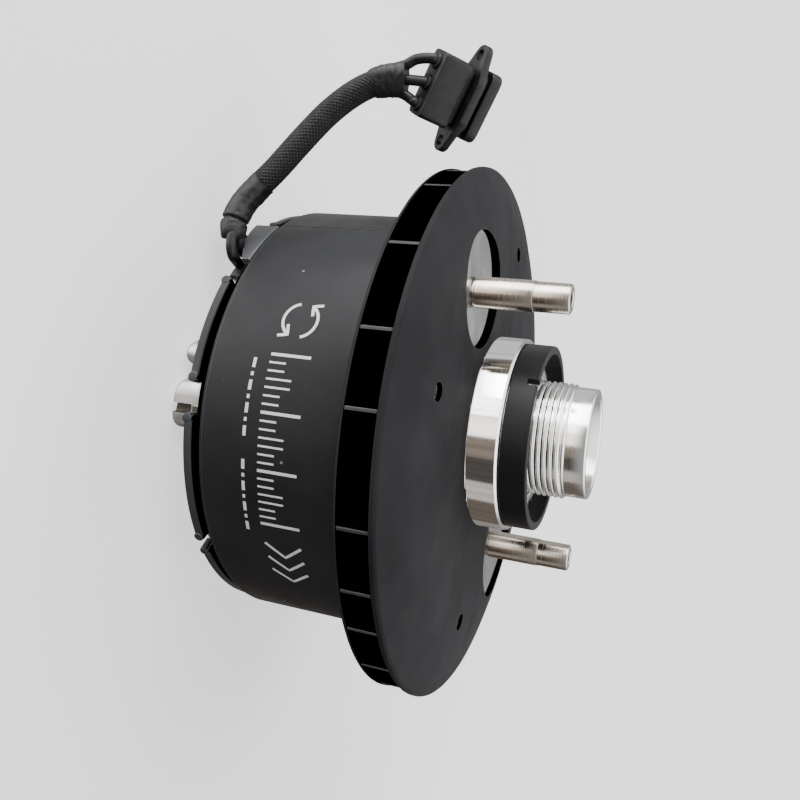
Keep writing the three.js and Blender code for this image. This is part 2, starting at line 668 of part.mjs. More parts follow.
// The flange: a diamond plate with a screw ear at each end.
function connectorFlange() {
  const { bottom, top, earCircle, earRadius, hole, halfWidth } = flange;
  const arc = (sign) =>
    Array.from({ length: 5 }, (_, i) => {
      const angle = (sign > 0 ? -70 : 110) + i * 35;
      const [x, y] = onCircle(earRadius, angle);
      return [x + sign * earCircle, y];
    });
  const outline = [
    [-5, -halfWidth], [5, -halfWidth], ...arc(1), [5, halfWidth], [-5, halfWidth], ...arc(-1),
  ];
  const holes = [-1, 1].map((sign) =>
    circleOutline(hole, 12).map(([x, y]) => [x + sign * earCircle, y]).reverse(),
  );
  return inConnector(slab(outline, bottom, top, holes));
}

const connectorSeal = () =>
  inConnector(connectorBlock(seal.length, seal.height, seal.bottom, seal.top));

function connectorShroud() {
  const { length, height, bottom, floor, top, wall } = shroud;
  const body = solid(connectorBlock(length, height, bottom, top));
  const mouth = solid(connectorBlock(length - 2 * wall, height - 2 * wall, floor, top + 1));
  return inConnector(geometryOf(cut(body, mouth)));
}

function connectorContact(index) {
  const place = [contact.pitch * (index - 1), 0];
  return inConnector(bar(contact.radius, contact.bottom, contact.top, place, 12));
}

// ---------------------------------------------------------------- assembly

addPiece("base_plate", basePlate(), "castAluminium");
addPiece("base_cover_ring", coverRingSolid(), "greyCoat");
addPiece("cable_guard", cableGuard(), "greyCoat");
addPiece("lead_potting", leadPotting(), "potting");
around(4, lug.firstAngle - baseScrew.beforeLug, (angle, i) =>
  addPiece(`base_screw_${i + 1}`, baseScrewPiece(angle), "steel"),
);
around(4, 0, (angle, i) => addPiece(`tube_screw_${i + 1}`, tubeScrewPiece(angle), "steel"));
addPiece("bearing_tube", bearingTube(), "rawAluminium");
addPiece("stator_core", statorCore(), "lamination");
["a", "b", "c"].forEach((letter, i) => addPiece(`winding_phase_${letter}`, windingPhase(i), "copper"));

for (const [place, z] of [["lower", bearing.lowerZ], ["upper", bearing.upperZ]]) {
  addPiece(`${place}_bearing_outer_race`, outerRace(z), "steel");
  addPiece(`${place}_bearing_cage`, ballCage(z), "steel");
  addPiece(`${place}_bearing_inner_race`, innerRace(z), "steel");
}
addPiece("lower_bearing_shield", bearingShield(bearing.lowerZ), "steel");
addPiece("upper_bearing_shield", bearingShield(bearing.upperZ + bearing.width - 0.5), "steel");
const spacerBottom = bearing.lowerZ + bearing.width + gap;
const spacerTop = bearing.upperZ - gap;
const spacer = (inner, outer) => ring(inner, outer, spacerBottom, spacerTop, facets.narrow);
addPiece("outer_spacer", spacer(race.outerBore, race.outerRadius), "rawAluminium");
addPiece("inner_spacer", spacer(shaft.radius + gap, race.innerWall), "rawAluminium");
addPiece("shaft_clip", shaftClip(), "steel");

addPiece("rotor_can", rotorCan(), "blackCoat");
addPiece("magnet_ring", magnetRing(), "magnetNickel");
addPiece("end_bell", endBell(), "rawAluminium");
addPiece("cooling_fan", coolingFan(), "blackCoat");
around(4, fanScrew.firstAngle, (angle, i) =>
  addPiece(`fan_screw_${i + 1}`, fanScrewPiece(angle), "steel"),
);
addPiece("hub_collar", hubCollar(), "polished");
addPiece("clamp_ring", clampRingSolid(), "blackCoat");
addPiece("lock_nut", lockNutSolid(), "polished");
addPiece("hollow_shaft", hollowShaft(), "polished");
addPiece("drive_post_1", drivePost(0), "steel");
addPiece("drive_post_2", drivePost(180), "steel");

addPiece("base_sleeve", sweep(stretch(spans.baseSleeve), sleeveRadius, 6), "rubber");
addPiece("cable_braid", sweep(stretch(spans.braid), braidRadius, 10), "braid");
addPiece("end_sleeve", sweep(stretch(spans.endSleeve), sleeveRadius, 4), "rubber");
for (const index of [0, 1, 2]) {
  addPiece(`base_lead_${index + 1}`, baseLead(baseLeadRoutes[index]), "rubber");
  addPiece(`tail_lead_${index + 1}`, tailLead(index), "rubber");
  addPiece(`connector_contact_${index + 1}`, connectorContact(index), "contact");
}
addPiece("connector_housing", connectorHousing(), "blackPlastic");
addPiece("connector_flange", connectorFlange(), "blackPlastic");
addPiece("connector_seal", connectorSeal(), "rubber");
addPiece("connector_shroud", connectorShroud(), "blackPlastic");

export default motor;
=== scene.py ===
"""The looks of the outrunner motor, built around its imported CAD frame.

Shapes are written in millimetres, in the part's own frame: +Z along the shaft, z = 0 at the mounting
lugs' faces, and angles in degrees from +X towards +Y. piece() turns them into metres.
"""

import math
from types import SimpleNamespace as Sizes

import bmesh
import bpy
from mathutils import Matrix, Vector, noise


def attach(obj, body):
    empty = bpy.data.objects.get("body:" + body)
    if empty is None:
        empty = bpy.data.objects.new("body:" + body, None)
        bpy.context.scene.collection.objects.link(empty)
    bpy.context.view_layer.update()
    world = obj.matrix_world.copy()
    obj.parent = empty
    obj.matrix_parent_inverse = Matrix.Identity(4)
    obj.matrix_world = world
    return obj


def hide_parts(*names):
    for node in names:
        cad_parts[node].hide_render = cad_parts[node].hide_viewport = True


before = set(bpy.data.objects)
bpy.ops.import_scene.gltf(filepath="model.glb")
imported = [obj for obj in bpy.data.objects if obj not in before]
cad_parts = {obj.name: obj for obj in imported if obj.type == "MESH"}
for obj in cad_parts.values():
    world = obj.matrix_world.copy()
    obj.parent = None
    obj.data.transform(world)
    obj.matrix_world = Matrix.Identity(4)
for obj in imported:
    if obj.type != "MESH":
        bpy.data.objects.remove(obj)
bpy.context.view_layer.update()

MM = 0.001

# ---------------------------------------------------------------- sizes, in millimetres

CAN = Sizes(outer=56.0, inner=54.0, rear=13.0, front=53.4)
WRAP = Sizes(radius=56.1, rear=13.7, front=52.6, seam=-144.0)
FAN = Sizes(rim=69.8, rim_z=63.0, crown_z=67.7, flat=46.0, bore=24.7, under=65.4, cut=(60, 72))
FAN_RING = Sizes(inner=54.6, outer=69.1, rear=53.7, front=54.5)
BLADE = Sizes(inner=57.9, outer=68.9, thickness=0.8, first=-143.0)
HALF_TURN_PITCHES = (20.5, 18, 14, 20.5, 12.5, 9.5, 13, 14, 18.5, 13, 12.5, 14)
FAN_SCREW = Sizes(circle=50.8, first=-97.5, hole=2.2, head=1.85)
BELL = Sizes(plate=57.0, top=65.1, under=62.2, hub=24.2, hub_top=67.8, boss=21.0, boss_bottom=52.4, webs=6,
             stud=2.4)
COLLAR = Sizes(radius=25.6, bottom=67.9, top=75.9)
CLAMP = Sizes(outer=24.5, inner=22.3, bottom=76.2, top=82.9)
NUT = Sizes(inner=15.6, outer=22.0, face=19.4, bottom=76.2, top=79.2)
SHAFT = Sizes(radius=15.0, bore=12.4, bottom=8.6, top=95.4, nose=14.4, nose_start=90.3)
THREAD = Sizes(pitch=1.5, crest=15.2, root=14.4, start=79.0, end=90.0)
POST = Sizes(circle=41.5, angle=-143.5, radius=3.9, end=3.72, foot=65.4, top=89.3)
POST_OPENING = Sizes(circle=42.3, radius=14.7)
BASE = Sizes(bore=17.0, hub=30.0, hub_bottom=4.0, hub_top=11.0, rim_in=43.2, rim_out=49.6,
             rim_bottom=5.2, top=9.2)
LUG = Sizes(first=-86.0, root=38.6, reach=50.4, width=12.4, hole_circle=44.6, hole=2.1,
            depth=6.5, slot=(0.0, 2.4))
BASE_SCREW = Sizes(circle=47.2, before_lug=15.0)
TUBE_SCREW = Sizes(circle=26.4, counterbore=3.0)
COVER = Sizes(outer=55.1, wall=51.6, inner=44.0, bottom=7.8, top=10.0, flange_bottom=9.5,
              flange_top=10.8)
# Where the cover ring's rim is open: pairs of angles.
RIM_BREAKS = [(-92.4, -83.9), (-49.3, -45.5), (-2.4, 6.1), (40.7, 44.5), (87.6, 96.1),
              (130.7, 134.5), (177.6, 186.1), (213.0, 239.0)]
# The guard's lower edge drops in steps of (angle, height).
GUARD = Sizes(inner=54.3, outer=56.0, top=12.6,
              rear_edge=[(-127.0, 10.4), (-134.5, 7.2), (-139.5, 6.2), (-143.8, 5.7)])
STACK = Sizes(bottom=15.5, top=48.5, teeth=36, slot_floor=36.6, coil_end=47.2, overhang=3.6)
COIL = Sizes(turns=9, wire=0.52, sides=6)
PRINT = Sizes(start=-116.0, line=0.7, fine=0.45, arrows_at=(6.2, 33.4), arrow_radius=4.3, scale_from=15.0,
              scale_step=1.9, scale_base=28.6, chevrons_from=60.5, chevron_step=4.4, chevron_base=28.8,
              dash_height=24.9, dash_rows=((16.2, 34.8), (39.5, 57.5)), dash_gap=1.0)

# The cable's middle line, from where it leaves the resin to the connector's back.
ROUTE = [(-36.4, -39.9, 7.9), (-36.5, -41.7, 7), (-38, -43.2, 6.5), (-40.1, -44.1, 6.5),
         (-41.9, -44.2, 6.4), (-44.5, -43.9, 6.6), (-48, -43.2, 7.6), (-52.5, -42.5, 10.6),
         (-57.6, -41.6, 14.4), (-63.8, -40.7, 18.6), (-69, -39.9, 22.2), (-73.4, -39.2, 25.6),
         (-78.2, -38.4, 30.6), (-81.2, -37.8, 35.4), (-82.3, -37.7, 40.2), (-82.5, -37.2, 44.9),
         (-82.3, -36.6, 49.4)]
# The three leads, each from the resin to the mouth of the sleeve.
BASE_LEADS = [
    [(-39, -34.5, 6.9), (-39.8, -36, 5.4), (-40.8, -38.2, 5), (-40.2, -41, 4.9), (-40.1, -42.7, 4.6),
     (-40.8, -43.7, 4.6)],
    [(-36.2, -37.5, 6.9), (-36.5, -38.7, 6.5), (-36.6, -40.3, 6.7), (-37.1, -41.8, 7.4), (-38.9, -43, 7.9),
     (-40.7, -43, 7.6)],
    [(-32.9, -40.4, 7.4), (-33.2, -41.8, 7.6), (-33.5, -43.5, 8), (-34.2, -45.1, 8), (-36, -46, 7.8),
     (-38, -46.1, 7.6), (-40.2, -45.8, 7.5)]]
CORD_LENGTH = 73.0
LEAD_RADIUS = 1.3
LEAD_SPREADS = (2.4, 2.8, 3.5, 4.9)
BRAID_RADIUS = 3.15
SLEEVE_RADIUS = 3.5
YARN = Sizes(carriers=16, samples=190, lay=17.0, width=0.98, thickness=0.3, lift=0.13)
# Shares of the cable's length that each cover takes.
SPANS = Sizes(base_sleeve=(0.075, 0.3), braid=(0.28, 0.835), end_sleeve=(0.806, 0.93))
CONNECTOR_LONG = Vector((0.87, 0.26, -0.43)).normalized()
CONNECTOR_AXIS = Vector((0.06, 0.80, 0.60))
LEAD_PITCH = 5.5
CONNECTOR = Sizes(length=16.6, height=7.0, depth=8.4, waist_end=9.9, flange=(10.1, 12.2),
                  ear_circle=11.3, ear_radius=2.7, half_width=5.3, seal=(12.5, 13.9), shroud=(14.2, 17.4))

CAMERA = Sizes(place=(0, -216.3, 120.9), look=(-0.0757, 0.9388, -0.3359),
               up=(-0.988, -0.1161, -0.1017), lens=36.53, shift=(-0.0209, -0.0525))

MIDDLE = Vector((0, 0, 50))

# What shiny parts reflect round the horizon: (degrees from -Y towards +X, brightness, warmth).
ROOM_PANELS = [(-180, 0.5, 0.2), (-142, 0.75, 0), (-94, 0.16, 0.5), (-79, 5.0, 0), (-16, 0.35, 0),
               (-14, 2.6, 0.5), (9, 0.27, 1), (34, 0.08, 0.6), (64, 0.6, 0.4), (92, 0.14, 1), (140, 0.3, 0.6)]

# ---------------------------------------------------------------- camera and stage


def add_camera():
    """A near viewpoint with a slightly long lens, rolled so that the shaft points right."""
    data = bpy.data.cameras.new("camera")
    data.lens = CAMERA.lens
    data.shift_x, data.shift_y = CAMERA.shift
    data.clip_start = 0.01
    camera = bpy.data.objects.new("camera", data)
    bpy.context.scene.collection.objects.link(camera)
    forward = Vector(CAMERA.look).normalized()
    right = forward.cross(Vector(CAMERA.up)).normalized()
    up = right.cross(forward)
    turn = Matrix((right, up, -forward)).transposed().to_4x4()
    camera.matrix_world = Matrix.Translation(Vector(CAMERA.place) * MM) @ turn
    bpy.context.scene.camera = camera
    return right, up, forward


# ---------------------------------------------------------------- mesh tools


def around(radius, degrees, z=0.0):
    """The point at a radius and an angle."""
    angle = math.radians(degrees)
    return Vector((radius * math.cos(angle), radius * math.sin(angle), z))


def piece(name, verts, faces, material=None, sharp=32.0):
    """A mesh object from points in millimetres, smooth but for edges that turn more than sharp degrees."""
    mesh = bpy.data.meshes.new(name)
    mesh.from_pydata([Vector(v) * MM for v in verts], [], faces)
    obj = bpy.data.objects.new(name, mesh)
    bpy.context.scene.collection.objects.link(obj)
    if material:
        mesh.materials.append(material)
    shade(obj, sharp)
    return obj


def shade(obj, sharp=32.0):
    """Faces point outwards; edges that turn more than sharp degrees are crisp."""
    bm = bmesh.new()
    bm.from_mesh(obj.data)
    bmesh.ops.recalc_face_normals(bm, faces=bm.faces)
    for face in bm.faces:
        face.smooth = True
    for edge in bm.edges:
        edge.smooth = len(edge.link_faces) == 2 and edge.calc_face_angle() < math.radians(sharp)
    bm.to_mesh(obj.data)
    bm.free()
    return obj


def bake(obj, sharp=32.0):
    """Applies every modifier."""
    graph = bpy.context.evaluated_depsgraph_get()
    mesh = bpy.data.meshes.new_from_object(obj.evaluated_get(graph))
    obj.modifiers.clear()
    obj.data = mesh
    return shade(obj, sharp)


def cut(obj, *tools, sharp=32.0):
    """Cuts the tools' shapes out of an object, and uses the tools up."""
    for tool in tools:
        modifier = obj.modifiers.new("cut", "BOOLEAN")
        modifier.operation = "DIFFERENCE"
        modifier.solver = "EXACT"
        modifier.object = tool
    bake(obj, sharp)
    for tool in tools:
        bpy.data.objects.remove(tool)
    return obj


def skin(rings, count, looped=False, start=0):
    """Faces between rings of count points each. The rings form a loop, or both ends are capped."""
    faces = []
    for ring in range(rings if looped else rings - 1):
        a, b = start + ring * count, start + (ring + 1) % rings * count
        faces += [(a + k, a + (k + 1) % count, b + (k + 1) % count, b + k) for k in range(count)]
    if not looped:
        last = start + (rings - 1) * count
        faces += [tuple(reversed(range(start, start + count))), tuple(range(last, last + count))]
    return faces


def joined(name, parts, material):
    """Several objects as one, each part keeping its own closed surface."""
    bm = bmesh.new()
    for part in parts:
        part.data.transform(part.matrix_world)
        bm.from_mesh(part.data)
    mesh = bpy.data.meshes.new(name)
    bm.to_mesh(mesh)
    bm.free()
    for part in parts:
        bpy.data.objects.remove(part)
    obj = bpy.data.objects.new(name, mesh)
    bpy.context.scene.collection.objects.link(obj)
    mesh.materials.clear()
    mesh.materials.append(material)
    return obj


def rounded(outline, radius, steps=4):
    """A closed outline with its corners rounded. A point may carry its own radius as a third number."""
    count = len(outline)
    result = []
    for i, corner in enumerate(outline):
        here = Vector(corner[:2])
        want = corner[2] if len(corner) > 2 else radius
        before = Vector(outline[i - 1][:2]) - here
        after = Vector(outline[(i + 1) % count][:2]) - here
        room = 0.45 * min(before.length, after.length)
        turn = math.pi - before.angle(after)
        reach = min(want * math.tan(turn / 2), room) if want > 0 and turn > 0.05 else 0
        if reach < 1e-4:
            result.append(here)
            continue
        start = here + before.normalized() * reach
        end = here + after.normalized() * reach
        for k in range(steps + 1):
            t = k / steps
            result.append((1 - t) ** 2 * start + 2 * t * (1 - t) * here + t * t * end)
    return [tuple(p) for p in result]


def band(inner, outer, bottom, top, corner, steps=4):
    """The section of a ring, or a plain rectangle, with its corners rounded."""
    return rounded([(inner, bottom), (outer, bottom), (outer, top), (inner, top)], corner, steps)


def lathe(name, profile, material=None, segments=192, span=360.0, first=0.0, sharp=32.0):
    """A closed profile of (radius, z) turned about Z, all the way or through part of a turn."""
    whole = span >= 360
    columns = segments if whole else max(2, round(segments * span / 360)) + 1
    verts = []
    for c in range(columns):
        degrees = first + (360 * c / segments if whole else span * c / (columns - 1))
        verts += [around(r, degrees, z) for r, z in profile]
    return piece(name, verts, skin(columns, len(profile), whole), material, sharp)


def spindle(name, profile, material=None, at=(0, 0), segments=48, sharp=32.0):
    """A solid turned piece; its profile runs from its own axis back to it."""
    centre = Vector((*at, 0))
    outside = profile[1:-1]
    verts = [centre + Vector((0, 0, profile[0][1]))]
    verts += [around(r, 360 * c / segments, z) + centre for c in range(segments) for r, z in outside]
    verts.append(centre + Vector((0, 0, profile[-1][1])))
    count, last = len(outside), len(verts) - 1
    faces = []
    for c in range(segments):
        a, b = 1 + c * count, 1 + (c + 1) % segments * count
        faces.append((0, b, a))
        faces += [(a + i, b + i, b + i + 1, a + i + 1) for i in range(count - 1)]
        faces.append((a + count - 1, b + count - 1, last))
    return piece(name, verts, faces, material, sharp)


def inset(outline, amount):
    """The outline moved inwards by the amount, corner by corner."""
    points = [Vector(p) for p in outline]
    area = sum(a.x * b.y - b.x * a.y for a, b in zip(points, points[1:] + points[:1]))
    side = 1 if area > 0 else -1
    moved = []
    for i, here in enumerate(points):
        before = (here - points[i - 1]).normalized()
        after = (points[(i + 1) % len(points)] - here).normalized()
        normal = Vector((-(before.y + after.y), before.x + after.x)) * side
        scale = 1 + before.dot(after)
        moved.append(here + normal * (amount / max(scale, 0.5)))
    return moved


def prism(name, outline, bottom, top, edge=0.2, material=None, sharp=32.0, steps=2):
    """An outline raised from bottom to top, with a small round-over at both ends."""
    turns = [math.pi / 2 * k / steps for k in range(steps + 1)]
    arc = [(edge * (1 - math.cos(t)), edge * (1 - math.sin(t))) for t in turns]
    layers = [(bottom + rise, amount) for rise, amount in arc]
    layers += [(top - rise, amount) for rise, amount in reversed(arc)]
    verts = [(p.x, p.y, z) for z, amount in layers for p in inset(outline, amount)]
    return piece(name, verts, skin(len(layers), len(outline)), material, sharp)


def rectangle(length, width, corner):
    """A rectangle about the middle, with round corners."""
    return band(-length / 2, length / 2, -width / 2, width / 2, corner * 2, 5)


def circle(radius, sides=48, at=(0, 0), first=0.0):
    return [tuple((around(radius, first + 360 * i / sides) + Vector((*at, 0))).xy) for i in range(sides)]


def rod(name, radius, bottom, top, at, sides=32):
    """An upright round bar."""
    return prism(name, circle(radius, sides, at), bottom, top, 0.05)


def turned_by(obj, degrees):
    obj.data.transform(Matrix.Rotation(math.radians(degrees), 4, "Z"))
    return obj


def moved_by(obj, matrix):
    """matrix works in millimetres."""
    metric = matrix.copy()
    metric.translation *= MM
    obj.data.transform(metric)
    return obj


def spline(points, samples):
    """Centripetal Catmull-Rom through the points, evenly spaced along its length."""
    ends = [2 * points[0] - points[1], *points, 2 * points[-1] - points[-2]]
    dense = []
    for near in zip(ends, ends[1:], ends[2:], ends[3:]):
        knots = [0.0]
        for a, b in zip(near, near[1:]):
            knots.append(knots[-1] + math.sqrt((b - a).length))
        for k in range(24):
            at = knots[1] + (knots[2] - knots[1]) * k / 24
            level = list(near)
            for reach, first in ((1, 0), (2, 0), (1, 1)):
                level = [a.lerp(b, (at - knots[i + first]) / (knots[i + first + reach] - knots[i + first]))
                         for i, (a, b) in enumerate(zip(level, level[1:]))]
            dense.append(level[0])
    dense.append(points[-1].copy())
    return resample(dense, samples)


def resample(line, samples):
    """Points evenly spaced along a line."""
    lengths = [0.0]
    for a, b in zip(line, line[1:]):
        lengths.append(lengths[-1] + (b - a).length)
    result = []
    i = 0
    for k in range(samples):
        want = lengths[-1] * k / (samples - 1)
        while i < len(line) - 2 and lengths[i + 1] < want:
            i += 1
        share = (want - lengths[i]) / max(lengths[i + 1] - lengths[i], 1e-9)
        result.append(line[i].lerp(line[i + 1], min(1, max(0, share))))
    return result


def frames_along(line, start_side):
    """For each point its tangent and two side directions, carried along without twisting."""
    result = []
    side = start_side
    for i, point in enumerate(line):
        tangent = (line[min(i + 1, len(line) - 1)] - line[max(i - 1, 0)]).normalized()
        side = (side - tangent * side.dot(tangent)).normalized()
        result.append((point, tangent, side, tangent.cross(side)))
    return result


def tube(name, frames, radius, sides=24, material=None, sharp=50.0):
    """A closed tube along frames; radius(share, angle) gives its surface."""
    verts = []
    for i, (point, _, side, other) in enumerate(frames):
        for k in range(sides):
            angle = 2 * math.pi * k / sides
            out = side * math.cos(angle) + other * math.sin(angle)
            verts.append(point + out * radius(i / (len(frames) - 1), angle))
    return piece(name, verts, skin(len(frames), sides), material, sharp)


def two_tone(obj, first, second, chosen):
    """Paints the faces that chosen(centre in millimetres, normal) picks with the second material."""
    obj.data.materials.clear()
    obj.data.materials.append(first)
    obj.data.materials.append(second)
    for face in obj.data.polygons:
        face.material_index = 1 if chosen(face.center / MM, face.normal) else 0
    return obj


def unmirrored(obj):
    """Kept out of reflections, so that the polished parts beside it mirror the bright room."""
    obj.visible_glossy = False
    return obj


def place(obj, body, slot, *nodes):
    """The piece rides on a body and stands for CAD nodes. The slot is not used."""
    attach(obj, body)
    if nodes:
        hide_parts(*nodes)
    return obj


# ---------------------------------------------------------------- materials


class Graph:
    """A node tree with short ways to build it. A node's input takes a value or another node's output."""

    def __init__(self, tree):
        self.tree = tree

    def feed(self, entry, value):
        if isinstance(value, bpy.types.NodeSocket):
            self.tree.links.new(value, entry)
        else:
            entry.default_value = value

    def node(self, kind, inputs=None, **settings):
        made = self.tree.nodes.new("ShaderNode" + kind)
        for key, value in settings.items():
            setattr(made, key, value)
        for key, value in (inputs or {}).items():
            self.feed(made.inputs[key], value)
        return made

    def math(self, operation, a, b=0.0):
        return self.node("Math", {0: a, 1: b}, operation=operation).outputs[0]

    def ranged(self, source, low, high, new_low=0.0, new_high=1.0):
        ends = {"From Min": low, "From Max": high, "To Min": new_low, "To Max": new_high}
        return self.node("MapRange", {"Value": source, **ends}).outputs["Result"]

    def blended(self, share, first, second):
        return self.node("MixShader", {0: share, 1: first, 2: second}).outputs[0]


class Look(Graph):
    """A material: one Principled surface, fed from the part's own coordinates in metres."""

    def __init__(self, name, color, roughness, metallic=0.0, **inputs):
        self.material = bpy.data.materials.new(name)
        self.material.use_nodes = True
        super().__init__(self.material.node_tree)
        self.surface = self.tree.nodes["Principled BSDF"]
        self.set("Base Color", (*color, 1))
        for key, value in {"Roughness": roughness, "Metallic": metallic, **inputs}.items():
            self.set(key, value)
        self.coordinates = self.node("TexCoord").outputs["Object"]

    def set(self, name, value):
        self.feed(self.surface.inputs[name], value)

    def mapped(self, size):
        """Coordinates that count in steps of size millimetres."""
        steps = (1 / (size * MM),) * 3
        return self.node("Mapping", {"Vector": self.coordinates, "Scale": steps}).outputs["Vector"]

    def noise(self, size, detail=3.0):
        """Soft noise whose features are about size millimetres across."""
        inputs = {"Vector": self.mapped(size), "Scale": 1.0, "Detail": detail}
        return self.node("TexNoise", inputs).outputs["Fac"]

    def specks(self, spacing, size, share):
        """A sparse scatter of small dots: spacing and size in millimetres, share of the cells used."""
        cells = self.node("TexVoronoi", {"Vector": self.mapped(spacing), "Scale": 1.0})
        near = self.math("LESS_THAN", cells.outputs["Distance"], size / spacing)
        parted = self.node("SeparateColor", {"Color": cells.outputs["Color"]})
        chosen = self.math("GREATER_THAN", parted.outputs["Red"], 1 - share)
        return self.math("MULTIPLY", near, chosen)

    def radius_and_height(self):
        """Distance from the motor's axis and height above its lugs, in metres."""
        split = self.node("SeparateXYZ", {"Vector": self.coordinates}).outputs
        square = self.math("ADD", self.math("POWER", split["X"], 2.0), self.math("POWER", split["Y"], 2.0))
        return self.math("SQRT", square), split["Z"]

    def mixed(self, factor, first, second):
        """Two colours, each three numbers or another node's output, mixed by the factor."""
        inputs = {0: factor}
        for key, color in ((6, first), (7, second)):
            inputs[key] = color if isinstance(color, bpy.types.NodeSocket) else (*color, 1)
        return self.node("Mix", inputs, data_type="RGBA").outputs[2]

    def bump(self, height, distance, strength=1.0):
        """distance in millimetres. Bumps added later lie on the earlier ones."""
        made = self.node("Bump", {"Height": height, "Distance": distance * MM, "Strength": strength})
        before = self.surface.inputs["Normal"].links
        if before:
            self.feed(made.inputs["Normal"], before[0].from_socket)
        self.set("Normal", made.outputs["Normal"])

    def vary_roughness(self, size, detail, low, high):
        self.set("Roughness", self.ranged(self.noise(size, detail), 0.3, 0.7, low, high))

    def edge_wear_and_highlight(self, color, size, amount):
        """Lighter paint along convex edges, from the Bevel node against the true normal: partly wear, partly
        a painted highlight along the edges.
        """
        softened = self.node("Bevel", {"Radius": size * MM}, samples=4).outputs["Normal"]
        true = self.node("NewGeometry").outputs["Normal"]
        likeness = self.node("VectorMath", {0: softened, 1: true}, operation="DOT_PRODUCT").outputs["Value"]
        wear_and_highlight = self.ranged(likeness, 0.99, 0.86, 0.0, amount)
        paint = self.surface.inputs["Base Color"].links[0].from_socket
        self.set("Base Color", self.mixed(wear_and_highlight, paint, color))


def scaled(color, factor):
    """A colour made lighter or darker."""
    return tuple(channel * factor for channel in color)


def charcoal(name, color, rough, specks=True):
    """Satin charcoal coat: fine orange peel, faint smudges and a few light specks of dust."""
    look = Look(name, color, rough)
    tint = look.mixed(look.ranged(look.noise(22, 4), 0.3, 0.7), scaled(color, 0.78), scaled(color, 1.35))
    if specks:
        tint = look.mixed(look.specks(7.5, 0.34, 0.3), tint, (0.2, 0.2, 0.2))
        tint = look.mixed(look.specks(3.1, 0.1, 0.35), tint, (0.13, 0.13, 0.13))
    look.set("Base Color", tint)
    look.vary_roughness(9, 5, rough - 0.05, rough + 0.07)
    look.bump(look.noise(0.35, 2), 0.012, 0.5)
    return look


def turned_metal(name, color, rough, lines, along="height"):
    """Machined metal with fine lathe lines: rings on a face, or hoops round a cylinder."""
    look = Look(name, color, rough, 1.0, Anisotropic=0.55)
    radius, height = look.radius_and_height()
    source = radius if along == "radius" else height
    spun = look.math("ADD", look.math("MULTIPLY", source, 2 * math.pi / (lines * MM)),
                     look.math("MULTIPLY", look.noise(6, 2), 1.5))
    look.bump(look.math("SINE", spun), 0.004, 0.35)
    place_in_hoops = look.math("MULTIPLY", source, 1 / (0.6 * MM))
    hoops = look.node("TexNoise", {"W": place_in_hoops, "Scale": 1.0, "Detail": 4}, noise_dimensions="1D")
    look.set("Roughness", look.ranged(hoops.outputs["Fac"], 0.3, 0.7, rough * 0.7, rough * 1.4))
    smudge = look.ranged(look.noise(5, 3), 0.35, 0.75, 1.0, 0.82)
    look.set("Base Color", look.mixed(smudge, scaled(color, 0.8), color))
    look.set("Tangent", look.node("Tangent", direction_type="RADIAL", axis="Z").outputs["Tangent"])
    return look


def cast_metal(name, color, rough):
    """Cast or plated metal with a fine uneven skin."""
    look = Look(name, color, rough, 1.0)
    look.bump(look.noise(0.7, 4), 0.05, 0.6)
    look.set("Base Color", look.mixed(look.ranged(look.noise(4, 4), 0.3, 0.7), scaled(color, 0.7), color))
    look.vary_roughness(1.5, 3, rough - 0.08, rough + 0.12)
    return look


def satin_metal(name, color, rough):
    """Smooth metal without a lay: a little smudged, nothing more."""
    look = Look(name, color, rough, 1.0)
    smudge = look.ranged(look.noise(5, 3), 0.35, 0.75, 1.0, 0.0)
    look.set("Base Color", look.mixed(smudge, scaled(color, 0.9), color))
    look.vary_roughness(7, 3, rough - 0.03, rough + 0.05)
    return look


def rubbery(name, color, rough, grain):
    """Rubber, plastic, resin or enamel with a grain of that many millimetres."""
    look = Look(name, color, rough)
    look.bump(look.noise(grain, 4), 0.03, 0.5)
    look.set("Base Color", look.mixed(look.ranged(look.noise(3, 4), 0.35, 0.7), color, scaled(color, 1.35)))
    look.vary_roughness(2, 3, rough - 0.07, rough + 0.1)
    return look


def laminated(name):
    """Stacked steel sheets, 0.35 mm each, seen on their edges."""
    look = Look(name, (0.18, 0.19, 0.21), 0.45, 0.9)
    _, height = look.radius_and_height()
    sheets = look.math("FRACT", look.math("MULTIPLY", height, 1 / (0.35 * MM)))
    look.bump(look.math("PINGPONG", sheets, 0.5), 0.05, 0.8)
    cloud = look.ranged(look.noise(2, 3), 0.3, 0.7)
    look.set("Base Color", look.mixed(cloud, (0.12, 0.12, 0.13), (0.3, 0.31, 0.33)))
    return look


def printed(name):
    """White ink, a little uneven."""
    look = Look(name, (0.86, 0.86, 0.85), 0.55)
    look.vary_roughness(1.2, 3, 0.45, 0.65)
    look.set("Base Color", look.mixed(look.noise(0.8, 3), (0.72, 0.72, 0.71), (0.86, 0.86, 0.85)))
    return look


